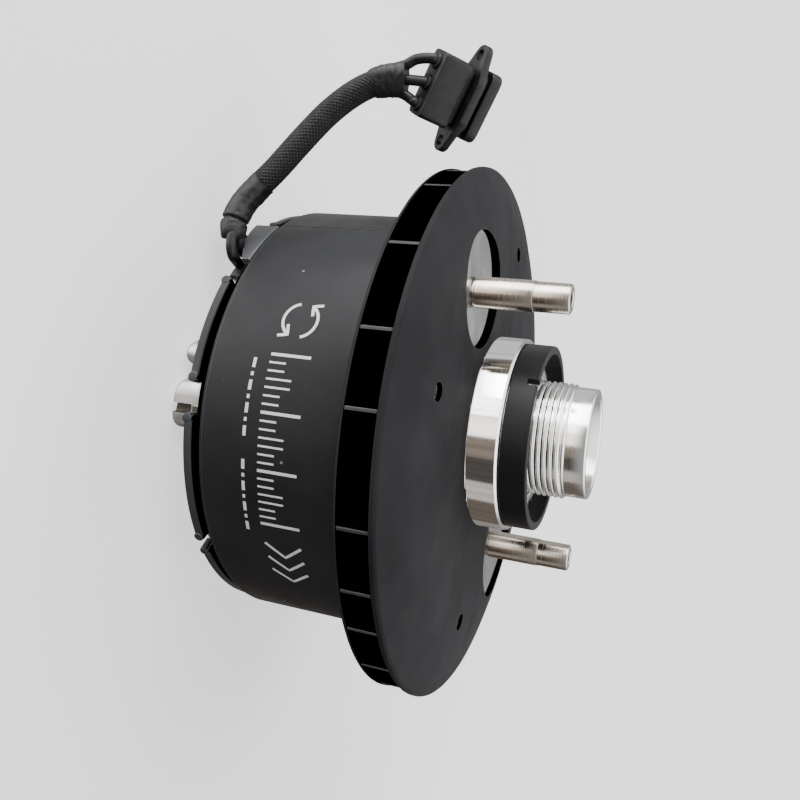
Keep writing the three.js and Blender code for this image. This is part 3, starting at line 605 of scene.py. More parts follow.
def make_looks():
    """Every material by a short name. Coats get their own shine and lighter edges, partly wear and partly
    painted highlight.
    """
    looks = {
        "can": charcoal("can_coat", (0.015, 0.0153, 0.0165), 0.45),
        "fan": charcoal("fan_coat", (0.0175, 0.0175, 0.019), 0.55),
        "clamp": charcoal("clamp_coat", (0.0105, 0.0105, 0.0115), 0.4, specks=False),
        # A near-black coat, used as painted shade on faces that lie in shadow.
        "painted_shade_black": charcoal("painted_shade_black", (0.0012, 0.0012, 0.0012), 0.8, specks=False),
        "cover": charcoal("cover_coat", (0.04, 0.042, 0.044), 0.45),
        "guard": charcoal("guard_coat", (0.05, 0.052, 0.055), 0.45, specks=False),
        "collar": turned_metal("collar_aluminium", (0.92, 0.92, 0.91), 0.07, 0.3),
        "shaft": turned_metal("shaft_aluminium", (0.90, 0.89, 0.87), 0.15, 0.2),
        "nut": turned_metal("nut_aluminium", (0.90, 0.90, 0.89), 0.25, 0.3, "radius"),
        "post": turned_metal("post_steel", (0.48, 0.435, 0.375), 0.2, 0.12),
        "bell": satin_metal("bell_aluminium", (0.56, 0.56, 0.57), 0.22),
        "steel": satin_metal("screw_steel", (0.42, 0.41, 0.40), 0.3),
        "bolt": satin_metal("black_steel", (0.035, 0.035, 0.035), 0.4),
        "cast": cast_metal("cast_aluminium", (0.62, 0.64, 0.64), 0.42),
        "lamination": laminated("laminations"),
        "copper": rubbery("enamelled_copper", (0.22, 0.075, 0.025), 0.35, 1.0),
        "magnet": cast_metal("magnet_nickel", (0.45, 0.45, 0.46), 0.3),
        "lead": rubbery("silicone_lead", (0.005, 0.005, 0.006), 0.42, 0.8),
        "sleeve": rubbery("shrunk_sleeve", (0.011, 0.011, 0.0125), 0.45, 1.2),
        "braid": rubbery("braid_yarn", (0.005, 0.005, 0.0055), 0.6, 0.12),
        "plastic": rubbery("moulded_plastic", (0.0045, 0.0045, 0.006), 0.4, 0.25),
        # Dark brown for the walls of the lugs' relief slots.
        "slot_dark_brown": rubbery("slot_dark_brown", (0.045, 0.035, 0.022), 0.6, 0.8),
        "contact": cast_metal("contact_gold", (0.83, 0.60, 0.22), 0.25),
        "potting": rubbery("potting_resin", (0.003, 0.003, 0.003), 0.5, 1.0),
        "print": printed("print_white"),
    }
    for name, shine in (("can", 0.15), ("fan", 0.05), ("clamp", 0.12), ("cover", 0.15), ("painted_shade_black", 0.0),
                        ("sleeve", 0.3), ("lead", 0.3), ("braid", 0.25), ("plastic", 0.25)):
        looks[name].set("Specular IOR Level", shine)
    # Lighter edges on the coats: partly wear, partly painted highlight.
    looks["can"].edge_wear_and_highlight((0.15, 0.15, 0.15), 0.3, 0.8)
    looks["fan"].edge_wear_and_highlight((0.10, 0.10, 0.105), 0.5, 0.6)
    looks["cover"].edge_wear_and_highlight((0.2, 0.2, 0.2), 0.4, 0.6)
    looks["guard"].edge_wear_and_highlight((0.25, 0.25, 0.25), 0.4, 0.7)
    return {name: look.material for name, look in looks.items()}


# ---------------------------------------------------------------- cable and connector


def vectors(points):
    return [Vector(p) for p in points]


ROUTE_LINE = spline(vectors(ROUTE), 300)


def stretch_of_route(span, samples):
    """Points evenly spaced on part of the route, between two shares of its length."""
    first, last = (round(share * (len(ROUTE_LINE) - 1)) for share in span)
    return resample(ROUTE_LINE[first:last + 1], samples)


def sleeve(name, span, flatness=0.0, fold=None):
    """Shrunk sleeve: three leads press through it, it wrinkles, and it may be flattened or have a fold."""
    def radius(share, angle):
        x, y = math.cos(angle), math.sin(angle)
        creases = noise.noise(Vector((x * 2.2, y * 2.2, share * 9 + span[0] * 50)))
        fine = noise.noise(Vector((x * 5, y * 5, share * 26)))
        lobes = 0.12 * math.cos(3 * angle + 0.6)
        flat = flatness * (0.4 + 0.6 * share) * (math.cos(2 * angle) + 0.3)
        mouth = 0.16 * math.exp(-(1 - share) * 40) - 0.5 * math.exp(-share * 14)
        pinch = 0.55 * math.exp(-((share - fold) / 0.022) ** 2) if fold else 0.0
        return SLEEVE_RADIUS - 0.12 + lobes + 0.17 * creases + 0.04 * fine + flat + mouth - pinch

    return tube(name, frames_along(stretch_of_route(span, 110), CONNECTOR_LONG), radius, 64)


def yarn_ring(point, tangent, side, other, angle, direction, rise):
    """Six points round a flat yarn where it crosses one frame of the cable."""
    out = side * math.cos(angle) + other * math.sin(angle)
    along = (other * math.cos(angle) - side * math.sin(angle)) * direction
    lean = (along * 0.72 + tangent * 0.69).normalized()
    half = lean.cross(out).normalized() * YARN.width / 2
    thick = out * YARN.thickness / 2
    centre = point + out * rise
    section = ((-1, -0.3), (-0.6, 1), (0.6, 1), (1, -0.3), (0.5, -1), (-0.5, -1))
    return [centre + half * across + thick * up for across, up in section]


def braid(name, material):
    """Flat yarns wound both ways, each passing over and under the ones that it crosses."""
    samples, carriers = YARN.samples, YARN.carriers
    frames = frames_along(stretch_of_route(SPANS.braid, samples), CONNECTOR_LONG)
    turns = CORD_LENGTH * (SPANS.braid[1] - SPANS.braid[0]) / YARN.lay
    verts, faces = [], []
    for direction, carrier in ((d, c) for d in (1, -1) for c in range(carriers)):
        faces += skin(samples, 6, start=len(verts))
        for i, crossing in enumerate(frames):
            wind = 2 * math.pi * turns * i / (samples - 1)
            angle = 2 * math.pi * carrier / carriers + direction * wind
            rise = BRAID_RADIUS - 0.2 + direction * YARN.lift * math.cos(carriers * wind)
            verts += yarn_ring(*crossing, angle, direction, rise)
    return piece(name, verts, faces, material, 80)


def lead(name, points, material, samples=60):
    """A plain round lead through the points."""
    frames = frames_along(spline(points, samples), CONNECTOR_LONG)
    return tube(name, frames, lambda share, angle: LEAD_RADIUS, 24, material)


def connector_frame():
    """Axes of the connector, millimetres: x along its length, y through it, z the way it mates."""
    mating = CONNECTOR_AXIS - CONNECTOR_LONG * CONNECTOR_AXIS.dot(CONNECTOR_LONG)
    mating.normalize()
    through = mating.cross(CONNECTOR_LONG)
    matrix = Matrix((CONNECTOR_LONG, through, mating)).transposed().to_4x4()
    matrix.translation = Vector(ROUTE[-1]) + mating * 0.3
    return matrix, mating


def tail_points(index, mating):
    """A lead that leaves the flattened end sleeve and spreads to its own hole in the connector."""
    shift = index - 1
    line = stretch_of_route((0.86, 0.96), 4)
    end = Vector(ROUTE[-1]) + CONNECTOR_LONG * (LEAD_PITCH * shift)
    points = []
    for (point, _, side, _), spread in zip(frames_along(line, CONNECTOR_LONG), LEAD_SPREADS):
        points.append(point + side * spread * shift)
    return [*points, end - mating * 0.9, end + mating * 0.3]


def add_cable(looks):
    """The middle lead runs through; the outer two show only at the ends, and the braid hides the rest."""
    matrix, mating = connector_frame()
    middle = [*vectors(BASE_LEADS[1]), *stretch_of_route((0.14, 0.955), 15), Vector(ROUTE[-1]) + mating * 0.3]
    core = frames_along(stretch_of_route((0.13, 0.86), 80), CONNECTOR_LONG)
    parts = [lead("cable_lead", middle, None, 160),
             tube("cable_filling", core, lambda share, angle: BRAID_RADIUS - 0.45),
             sleeve("lower_sleeve", SPANS.base_sleeve, fold=0.26),
             sleeve("upper_sleeve", SPANS.end_sleeve, flatness=0.75)]
    cable = shade(joined("cable", parts, looks["sleeve"]), 50)
    place(cable, "stator", "black_sleeve", "base_lead_2", "base_sleeve", "end_sleeve", "tail_lead_2")
    fittings = [place(braid("cable_weave", looks["braid"]), "stator", "black_braid", "cable_braid")]
    for index in (0, 2):
        ends = {"lower": [*vectors(BASE_LEADS[index]), *stretch_of_route((0.135, 0.17), 2)],
                "upper": tail_points(index, mating)}
        for end, node in (("lower", "base_lead"), ("upper", "tail_lead")):
            made = lead(f"{end}_lead_{index + 1}", ends[end], looks["lead"])
            fittings.append(place(made, "stator", "black_sleeve", f"{node}_{index + 1}"))
    fittings += add_connector(looks, matrix)


def flange_outline():
    """A plate with straight long sides and a round ear at each end."""
    half = CONNECTOR.half_width
    outline = []
    for side in (1, -1):
        arc = [around(CONNECTOR.ear_radius, -70 + 14 * i) for i in range(11)]
        ear = [tuple((p + Vector((CONNECTOR.ear_circle, 0, 0))).xy * side) for p in arc]
        outline += [(5.0 * side, -half * side), *ear, (5.0 * side, half * side)]
    return rounded(outline, 0.8)


def add_connector(looks, matrix):
    """Rear housing with its lead bosses, a waist, an eared flange, a seal and an open shroud."""
    length, height, depth, plastic = CONNECTOR.length, CONNECTOR.height, CONNECTOR.depth, looks["plastic"]
    housing = prism("connector_body", rectangle(length, height, 0.7), 0, depth, 0.45)
    waist_outline = rectangle(length - 2.2, height - 1.6, 0.6)
    waist = prism("connector_waist", waist_outline, depth - 0.2, CONNECTOR.waist_end, 0.1)
    bosses = [prism(f"boss_{i}", circle(2.0, 32, (LEAD_PITCH * (i - 1), 0)), -0.7, 1, 0.3) for i in range(3)]
    body = shade(joined("connector_shell", [housing, waist, *bosses], plastic), 40)

    bottom, top = CONNECTOR.flange
    plate = prism("connector_plate", flange_outline(), bottom, top, 0.3, plastic)
    ears = (-CONNECTOR.ear_circle, CONNECTOR.ear_circle)
    cut(plate, *[rod("ear_hole", 1.4, bottom - 1, top + 1, (x, 0)) for x in ears])

    gasket = rectangle(length - 1, height - 0.6, 1.2)
    seal = prism("connector_gasket", gasket, *CONNECTOR.seal, 0.35, looks["sleeve"])
    bottom, top = CONNECTOR.shroud
    mouth = prism("connector_mouth", rectangle(length + 1.4, height + 0.8, 1.4), bottom, top, 0.4, plastic)
    hollow = prism("mouth_hollow", rectangle(length - 1, height - 1.6, 0.8), bottom + 1.2, top + 1, 0.05)
    cut(mouth, hollow)

    floor, tip = bottom + 1.5, top - 0.2
    pin = [(0, floor), (1.4, floor), (1.4, tip - 0.3), (1.1, tip), (0.7, tip), (0.7, tip - 1), (0, tip - 1)]
    rows = [(body, "black_plastic", "connector_housing"), (plate, "black_plastic", "connector_flange"),
            (seal, "black_sleeve", "connector_seal"), (mouth, "black_plastic", "connector_shroud")]
    for i in range(3):
        contact = spindle(f"contact_{i + 1}", pin, looks["contact"], (4.8 * (i - 1), 0), 32)
        rows.append((contact, "contact_gold", f"connector_contact_{i + 1}"))
    return [place(moved_by(obj, matrix), "stator", slot, node) for obj, slot, node in rows]


# ---------------------------------------------------------------- rotor


def add_can(looks):
    """The can's shell, and a thin wrap round it with a narrow seam."""
    shell = band(CAN.inner, CAN.outer, CAN.rear, CAN.front, 0.35)
    place(lathe("can_shell", shell, looks["can"], 256), "rotor", "can_coat", "rotor_can")
    film = band(CAN.outer - 0.05, WRAP.radius, WRAP.rear, WRAP.front, 0.04, 2)
    place(lathe("can_wrap", film, looks["can"], 512, 359.4, WRAP.seam + 0.3), "rotor", "can_coat")


def ribbon(points, width):
    """A stroke of even width along flat points: pairs of points on its left and right borders."""
    borders = []
    for i, here in enumerate(points):
        along = (points[min(i + 1, len(points) - 1)] - points[max(i - 1, 0)]).normalized()
        aside = Vector((-along.y, along.x)) * (width / 2)
        borders.append((here + aside, here - aside))
    return borders


def arrow_strokes():
    """Two turning arrows, one after the other round a ring: an arc each, with a barbed head."""
    strokes = []
    for half in (0, 180):
        arc = [Vector(PRINT.arrows_at) + around(PRINT.arrow_radius, half + a).xy for a in range(15, 146, 10)]
        ahead = (arc[-1] - arc[-2]).normalized()
        tip = arc[-1] + ahead * 0.5
        barbs = [tip + Matrix.Rotation(turn, 2) @ ahead * 2.6 for turn in (2.5, -2.3)]
        strokes += [(arc, PRINT.line), ([barbs[0], tip, barbs[1]], PRINT.line)]
    return strokes


def dash_strokes():
    """Two rows of dashes, long and short in turn."""
    strokes = []
    for x, end in PRINT.dash_rows:
        long_dash = True
        while x < end:
            length, width = (2.3, 0.8) if long_dash else (0.9, PRINT.line)
            strokes.append(([Vector((x, PRINT.dash_height)), Vector((x + length, PRINT.dash_height))], width))
            x += length + PRINT.dash_gap
            long_dash = not long_dash
    return strokes


def print_strokes():
    """Generic marks: turning arrows, a graduated scale, three chevrons, and rows of dashes.
    Each stroke is (points of (length round the can, height), width)."""
    strokes = arrow_strokes()
    for i in range(22):
        height = {0: 10.0, 3: 6.4, 4: 6.4}.get(i % 7, 4.2)
        foot = Vector((PRINT.scale_from + PRINT.scale_step * i, PRINT.scale_base))
        strokes.append(([foot, foot + Vector((0, height))], PRINT.fine if i % 7 else PRINT.line))
    for i in range(3):
        foot = Vector((PRINT.chevrons_from + PRINT.chevron_step * i, PRINT.chevron_base))
        strokes.append(([foot, foot + Vector((3.8, 4.7)), foot + Vector((0, 9.4))], PRINT.line))
    return strokes + dash_strokes()


def add_print(looks):
    """The marks as a thin skin of ink on the can's wrap."""
    inner, outer = WRAP.radius - 0.02, WRAP.radius + 0.03
    verts, faces = [], []

    def on_can(point, radius):
        return around(radius, PRINT.start + math.degrees(point.x / WRAP.radius), point.y)

    for points, width in print_strokes():
        fine = [points[0]]
        for a, b in zip(points, points[1:]):
            parts = max(1, math.ceil((b - a).length))
            fine += [a.lerp(b, k / parts) for k in range(1, parts + 1)]
        faces += skin(len(fine), 4, start=len(verts))
        for left, right in ribbon(fine, width):
            verts += [on_can(left, inner), on_can(right, inner), on_can(right, outer), on_can(left, outer)]
    place(piece("can_print", verts, faces, looks["print"]), "rotor", "can_coat")


def fan_face(radius):
    """Height of the fan's domed face: flat inside, then falling ever faster to the rim."""
    share = max(0.0, (radius - FAN.flat) / (FAN.rim - FAN.flat))
    return FAN.crown_z - (FAN.crown_z - FAN.rim_z) * share * share


def blade_angles():
    """The blades' places: uneven steps round half a turn, and the same steps round the other half."""
    angle = BLADE.first
    angles = []
    for pitch in HALF_TURN_PITCHES * 2:
        angles.append(angle)
        angle += pitch
    return angles


def fan_disc(looks):
    """The domed disc with its two post openings and its four screw holes, all with small round edges."""
    bore, rim, rim_z, under = FAN.bore, FAN.rim, FAN.rim_z, FAN.under
    face = [(r, fan_face(r), 0) for r in (67.6, 65.5, 62.5, 59.5, 56.5, 53, 49.5)]
    profile = rounded([(bore, under, 0.1), (58, under, 3), (69.0, rim_z - 1.5, 0.3), (rim, rim_z - 1.15, 0.3),
                       (rim, rim_z - 0.1, 0.5), (69.1, fan_face(69.1) + 0.12, 0.4), *face,
                       (FAN.flat, FAN.crown_z, 0), (bore, FAN.crown_z, 0.35)], 0.3)
    disc = lathe("fan_disc", profile, looks["fan"], 288)
    cuts = [(POST_OPENING.radius, around(POST_OPENING.circle, POST.angle + turn), 96) for turn in (0, 180)]
    cuts += [(FAN_SCREW.hole, around(FAN_SCREW.circle, FAN_SCREW.first + 90 * i), 40) for i in range(4)]
    tools = [rod("opening", radius, *FAN.cut, at.xy, sides) for radius, at, sides in cuts]
    cut(disc, joined("openings", tools, looks["fan"]))
    edges = disc.modifiers.new("edges", "BEVEL")
    edges.width = 0.22 * MM
    edges.segments = 2
    edges.limit_method = "ANGLE"
    edges.angle_limit = math.radians(55)
    return bake(disc)


def add_fan(looks):
    """The disc, the thin back ring, and the blades between them. Faces that lie in shade (the openings'
    walls, the disc's underside, the back ring's flat faces, and the blades but for their outer tips) are
    painted black as painted shade.
    """
    def shaded(centre, normal):
        in_opening = abs(normal.z) < 0.3 and math.hypot(centre.x, centre.y) < 62
        return in_opening or normal.z < -0.3

    # The openings' walls and the disc's underside are painted black as painted shade.
    disc = two_tone(fan_disc(looks), looks["fan"], looks["painted_shade_black"], shaded)
    place(unmirrored(disc), "rotor", "dark_anodised", "cooling_fan")

    section = band(FAN_RING.inner, FAN_RING.outer, FAN_RING.rear, FAN_RING.front, 0.25)
    back_ring = lathe("fan_back_ring", section, looks["fan"], 288)
    # The back ring's flat faces are painted black as painted shade.
    two_tone(back_ring, looks["fan"], looks["painted_shade_black"], lambda centre, normal: abs(normal.z) > 0.5)
    place(unmirrored(back_ring), "rotor", "dark_anodised")

    inner, outer, bottom, half = BLADE.inner, BLADE.outer, FAN_RING.front - 0.2, BLADE.thickness / 2
    outline = [(inner, bottom), (outer, bottom), (outer, FAN.rim_z - 1.0), (58.4, FAN.under + 0.3),
               (inner, FAN.under + 0.3)]
    blades = []
    for angle in blade_angles():
        blade = prism("blade", outline, -half, half, 0.15)
        blade.data.transform(Matrix.Rotation(math.radians(90), 4, "X"))
        blades.append(turned_by(blade, angle))
    fins = shade(joined("fan_blades", blades, looks["fan"]), 40)
    # The blades are painted black as painted shade; their outer tips take the lighter cover coat.
    two_tone(fins, looks["painted_shade_black"], looks["cover"],
             lambda centre, normal: math.hypot(centre.x, centre.y) > outer - 0.4)
    place(unmirrored(fins), "rotor", "dark_anodised")


def socketed(screw, across, bottom, top, at, first):
    """Cuts a hexagonal socket into a screw."""
    hexagon = circle(across / math.sqrt(3), 6, at, first)
    return cut(screw, prism("socket", hexagon, bottom, top, 0.01))


def add_fan_screws(looks):
    """The four dark screws that hold the fan to the bell, sunk in its holes."""
    head, seat = FAN_SCREW.head, BELL.top
    profile = [(0, 61), (1.2, 61), (1.2, seat + 0.3), (head - 0.15, seat + 0.8), (head, seat + 0.95),
               (head, seat + 1.35), (head - 0.15, seat + 1.5), (0, seat + 1.5)]
    for i in range(4):
        at = around(FAN_SCREW.circle, FAN_SCREW.first + 90 * i).xy
        screw = spindle(f"fan_bolt_{i + 1}", profile, looks["bolt"], at, 40)
        socketed(screw, 2.0, seat + 0.6, seat + 2, at, 12 * i)
        place(unmirrored(screw), "rotor", "steel", f"fan_screw_{i + 1}")


def add_bell(looks):
    """End bell: a plate with a machined face, on webs over a spigot. All but the face is painted black as
    painted shade.
    """
    bore, black = SHAFT.radius + 0.3, looks["painted_shade_black"]
    profile = rounded([(bore, BELL.boss_bottom), (BELL.boss, BELL.boss_bottom), (BELL.boss, BELL.under, 1.2),
                       (BELL.plate, BELL.under), (BELL.plate, BELL.top), (BELL.hub, BELL.top, 0.1),
                       (BELL.hub, BELL.hub_top), (bore, BELL.hub_top)], 0.4)
    bell = lathe("bell_plate", profile, black, 192)
    places = [around(POST.circle, POST.angle + turn).xy for turn in (0, 180)]
    studs = [rod("stud_hole", BELL.stud, 60, 67, at, 32) for at in places]
    cut(bell, joined("stud_holes", studs, black))
    # All but the top face is painted black as painted shade.
    two_tone(bell, black, looks["bell"], lambda centre, normal: normal.z > 0.9 and centre.z > BELL.top - 0.2)
    place(unmirrored(bell), "rotor", "machined_aluminium", "end_bell")
    parts = []
    for i in range(BELL.webs):
        web = prism("web", band(20, 53.5, -1.1, 1.1, 0), 53.4, BELL.under + 0.4, 0.15)
        parts.append(turned_by(web, 30 + 360 / BELL.webs * i))
    parts.append(lathe("bell_spigot", band(50.2, 53.7, 50, 54.1, 0.4), None, 160))
    # The webs and the spigot are painted black as painted shade.
    place(unmirrored(shade(joined("bell_webs", parts, black))), "rotor", "machined_aluminium")


def add_collar(looks):
    """The polished collar; it throws no light back on what is near it, so no bright glare lies on the fan."""
    bore, radius, bottom, top = SHAFT.radius + 0.3, COLLAR.radius, COLLAR.bottom, COLLAR.top
    profile = rounded([(bore, bottom), (radius - 0.35, bottom, 0.05), (radius, bottom + 0.35, 0.05),
                       (radius, top - 0.5, 0.06), (radius - 0.42, top, 0.06), (bore, top)], 0.1)
    collar = lathe("collar", profile, looks["collar"], 256)
    collar.visible_diffuse = False
    place(unmirrored(collar), "rotor", "polished_aluminium", "hub_collar")


def slotted(ring, material, outline, bottom, top, angles):
    """Cuts the same radial slot into a ring at each angle."""
    slots = [turned_by(prism("slot", outline, bottom, top, 0.02), angle) for angle in angles]
    return cut(ring, joined("slots", slots, material))


def add_clamp_ring(looks):
    """The dark clamp ring with its two spanner slots, and the slotted lock nut inside it."""
    inner, outer, bottom, top = CLAMP.inner, CLAMP.outer, CLAMP.bottom, CLAMP.top
    profile = rounded([(inner, bottom, 0.1), (outer, bottom, 0.2), (outer, top, 0.45), (inner, top)], 0.25)
    ring = lathe("clamp_band", profile, looks["clamp"], 256)
    slot = band(inner - 2, outer + 2, -0.95, 0.95, 0.1)
    slotted(ring, looks["clamp"], slot, top - 2.7, top + 1, (-122, 58))
    place(ring, "rotor", "dark_anodised", "clamp_ring")

    inner, outer, face, bottom, top = NUT.inner, NUT.outer, NUT.face, NUT.bottom, NUT.top
    profile = rounded([(inner, bottom), (outer, bottom), (outer, top - 0.9), (face, top - 0.9, 0.1),
                       (face, top), (inner, top)], 0.2)
    nut = lathe("nut", profile, looks["nut"], 192)
    slot = band(face - 2, outer + 2, -1.4, 1.4, 0)
    slotted(nut, looks["nut"], slot, top - 1.2, top + 1, (20, 110, 200, 290))
    place(nut, "rotor", "polished_aluminium", "lock_nut")


def thread_radius(z, degrees):
    """Radius of the shaft's outside: a rounded helical thread that runs out into the smooth nose."""
    phase = (z - THREAD.start) / THREAD.pitch - degrees / 360
    ridge = (0.5 - 0.5 * math.cos(2 * math.pi * phase)) ** 0.8
    fade = min(1.0, max(0.0, (z - THREAD.start) / 0.8)) * min(1.0, max(0.0, (THREAD.end - z) / 0.7))
    valley = THREAD.root * fade + SHAFT.nose * (1 - fade)
    return valley + (THREAD.crest - valley) * ridge * fade


def add_shaft(looks):
    """The hollow shaft: plain with a clip groove, then threaded, then the nose. Its surface is a grid of
    points, column after column, and the thread's rows take their radius from its formula."""
    radius, bore, bottom, top, nose = SHAFT.radius, SHAFT.bore, SHAFT.bottom, SHAFT.top, SHAFT.nose
    columns, rows_per_pitch = 240, 20
    step = THREAD.pitch / rows_per_pitch
    rows = [(bore, bottom + 0.3), (bore + 0.3, bottom), (radius - 0.3, bottom), (radius, bottom + 0.3),
            (radius, 11), (14.2, 11), (14.2, 12.1), (radius, 12.1), (radius, 78.0), (radius - 0.3, 78.3)]
    rows += [(None, THREAD.start + step * i) for i in range(round((THREAD.end - THREAD.start) / step) + 1)]
    rows += [(nose, SHAFT.nose_start), (nose, top - 0.45), (nose - 0.12, top - 0.13), (nose - 0.45, top),
             (bore + 0.35, top), (bore, top - 0.35)]
    verts = [around(thread_radius(z, 360 * c / columns) if r is None else r, 360 * c / columns, z)
             for c in range(columns) for r, z in rows]
    shaft = piece("shaft", verts, skin(columns, len(rows), True), looks["shaft"], 70)
    place(shaft, "rotor", "polished_aluminium", "hollow_shaft")


def add_posts(looks):
    """The drive posts, each with a seat, a long body, a fine groove, a slimmer end and a blind hole."""
    radius, end, foot, top = POST.radius, POST.end, POST.foot, POST.top
    groove = top - 9.05
    profile = [(0, foot - 2.6), (2.1, foot - 2.6), (2.1, foot), (radius - 0.3, foot),
               (radius - 0.3, foot + 0.3), (radius - 0.12, foot + 0.4), (radius, foot + 0.55),
               (radius, groove), (radius - 0.05, groove + 0.1), (end - 0.12, groove + 0.15),
               (end - 0.12, groove + 0.33), (end, groove + 0.39), (end, top - 0.55), (end - 0.12, top - 0.25),
               (end - 0.5, top), (2.35, top), (2.05, top - 0.3), (2.05, top - 7), (0, top - 7)]
    for i, turn in enumerate((0, 180)):
        post = spindle(f"post_{i + 1}", profile, looks["post"], around(POST.circle, POST.angle + turn).xy, 72)
        place(post, "rotor", "steel", f"drive_post_{i + 1}")


# ---------------------------------------------------------------- stator


def lug_hole(i):
    """The tool that cuts a lug's blind mounting hole."""
    return rod("mount_hole", LUG.hole, -1, LUG.depth, around(LUG.hole_circle, LUG.first + 90 * i).xy)


def add_lug(i):
    """A lug with round corners and edges, one sloped side, its mounting hole and its relief slot."""
    half, reach, root = LUG.width / 2, LUG.reach, LUG.root
    corners = [(root, -half, 0), (reach, -half, 4.0), (reach - 0.8, half, 4.2), (root, half, 0)]
    outline = rounded(corners, 0.4, 6)
    lug = prism("lug", outline, 0, BASE.top - 0.02, 1.7, steps=5)
    for vertex in lug.data.vertices:
        aside = max(0.0, -1.0 - vertex.co.y / MM)
        vertex.co.z += 0.3 * aside * max(0.0, 1 - vertex.co.z / (BASE.top * MM)) * MM
    slot = prism("slot", band(reach - 3, reach + 2, *LUG.slot, 0.7), -1, 12, 0.02)
    for obj in (lug, slot):
        turned_by(obj, LUG.first + 90 * i)
    return cut(lug, slot, lug_hole(i), sharp=40)


def base_screw_place(i):
    return around(BASE_SCREW.circle, LUG.first + 90 * i - BASE_SCREW.before_lug).xy


def tube_screw_place(i):
    return around(TUBE_SCREW.circle, 90 * i).xy


def in_lug_slot(centre, normal):
    """Walls of the relief slots, which are painted dark brown."""
    turn = (math.degrees(math.atan2(centre.y, centre.x)) - LUG.first + 45) % 90 - 45
    local = around(math.hypot(centre.x, centre.y), turn)
    low, high = LUG.slot
    beside = low - 0.2 < local.y < high + 0.2
    return abs(normal.z) < 0.3 and LUG.reach - 3.2 < local.x < LUG.reach - 0.3 and beside


def add_base(looks):
    """Cast base: hub, spokes, rim, four lugs with relief slots, and the screw bosses."""
    top = BASE.top
    hub = lathe("hub", band(BASE.bore, BASE.hub, BASE.hub_bottom, BASE.hub_top, 0.6), None, 128)
    cut(hub, *[rod("counterbore", TUBE_SCREW.counterbore, 2, 6.6, tube_screw_place(i), 32) for i in range(4)])
    rim = lathe("rim", rounded([(BASE.rim_in, BASE.rim_bottom), (BASE.rim_out, BASE.rim_bottom, 1.6),
                                (BASE.rim_out, top), (BASE.rim_in, top)], 0.5), None, 160)
    cut(rim, *[lug_hole(i) for i in range(4)])
    parts = [hub, rim]
    for i in range(8):
        spoke = prism("spoke", band(28, 44.5, -2.6, 2.6, 0), 5, top - 0.01, 0.5)
        parts.append(turned_by(spoke, 22.5 + 45 * i))
    for i in range(4):
        parts += [add_lug(i), rod("screw_boss", 3.4, 3.6, top - 0.03, base_screw_place(i), 40)]
    base = shade(joined("cast_base", parts, looks["cast"]), 40)
    # The relief slots' walls are painted dark brown.
    two_tone(base, looks["cast"], looks["slot_dark_brown"], in_lug_slot)
    place(base, "stator", "cast_aluminium", "base_plate")


def add_base_screws(looks):
    """Dome screws beside the lugs, and cap screws that hold the bearing tube."""
    dome = [(0, 1.0), (0.9, 1.03), (1.7, 1.25), (2.3, 1.7), (2.65, 2.3), (2.75, 2.8), (2.75, 3.2),
            (2.6, 3.35), (1.5, 3.35), (1.5, 9), (0, 9)]
    cap = [(0, 4.2), (2.3, 4.2), (2.6, 4.35), (2.7, 4.6), (2.7, 6.2), (2.6, 6.3), (1.5, 6.3), (1.5, 12.4),
           (0, 12.4)]
    for i in range(4):
        at = base_screw_place(i)
        screw = socketed(spindle(f"dome_screw_{i + 1}", dome, looks["cast"], at, 48), 2.5, 0, 2.4, at, 17 * i)
        place(screw, "stator", "steel", f"base_screw_{i + 1}")
        at = tube_screw_place(i)
        screw = socketed(spindle(f"cap_screw_{i + 1}", cap, looks["steel"], at, 40), 2.5, 3, 5.6, at, 9 * i)
        place(screw, "stator", "steel", f"tube_screw_{i + 1}")


def rolled_ear(angle):
    """A short round roll that ends a stretch of the cover ring's rim; it lies along the radius."""
    ear = prism("ear", circle(1.25, 20), -1.7, 1.7, 0.35)
    ear.data.transform(Matrix.Rotation(math.radians(90), 4, "Y"))
    ear.data.transform(Matrix.Translation(Vector((53.7, 0, 8.8)) * MM))
    return turned_by(ear, angle)


def add_cover_ring(looks):
    """Grey ring round the base: a flange painted black as painted shade, and a rim that breaks at each lug
    and ends in rolled ears; the rim's top face is painted black as painted shade too.
    """
    outer, wall, bottom, top, black = COVER.outer, COVER.wall, COVER.bottom, COVER.top, looks["painted_shade_black"]
    section = band(COVER.inner, wall + 0.8, COVER.flange_bottom, COVER.flange_top, 0.2)
    # The flange is painted black as painted shade.
    place(lathe("cover_flange", section, black, 160), "stator", "grey_coat")
    rim = rounded([(wall, bottom, 0.2), (outer, bottom, 0.7), (outer, top, 0.5), (wall, top, 0.2)], 0.4)
    parts = []
    for (_, start), (end, _) in zip(RIM_BREAKS, RIM_BREAKS[1:] + RIM_BREAKS[:1]):
        parts.append(lathe("rim", rim, None, 288, (end - start) % 360, start))
        parts += [rolled_ear(start + 0.8), rolled_ear(end - 0.8)]
    cover = shade(joined("cover_ring", parts, looks["cover"]), 40)
    # The rim's top face is painted black as painted shade.
    two_tone(cover, looks["cover"], black,
             lambda centre, normal: normal.z > 0.6 and math.hypot(centre.x, centre.y) < outer - 0.5)
    place(cover, "stator", "grey_coat", "base_cover_ring")


def guard_wall():
    """The guard's wall: six points round its section, over a lower edge that drops from end to end."""
    inner, outer, high = GUARD.inner, GUARD.outer, GUARD.top
    verts = []
    for (first, low_first), (last, low_last) in zip(GUARD.rear_edge, GUARD.rear_edge[1:]):
        for share in (i / 7 for i in range(8)):
            angle = first + (last - first) * share
            low = low_first + (low_last - low_first) * share
            section = ((inner, low), (outer - 0.2, low), (outer, low + 0.2), (outer, high - 0.25),
                       (outer - 0.25, high), (inner, high))
            verts += [around(r, angle, z) for r, z in section]
    return piece("guard_wall", verts, skin(len(verts) // 6, 6))


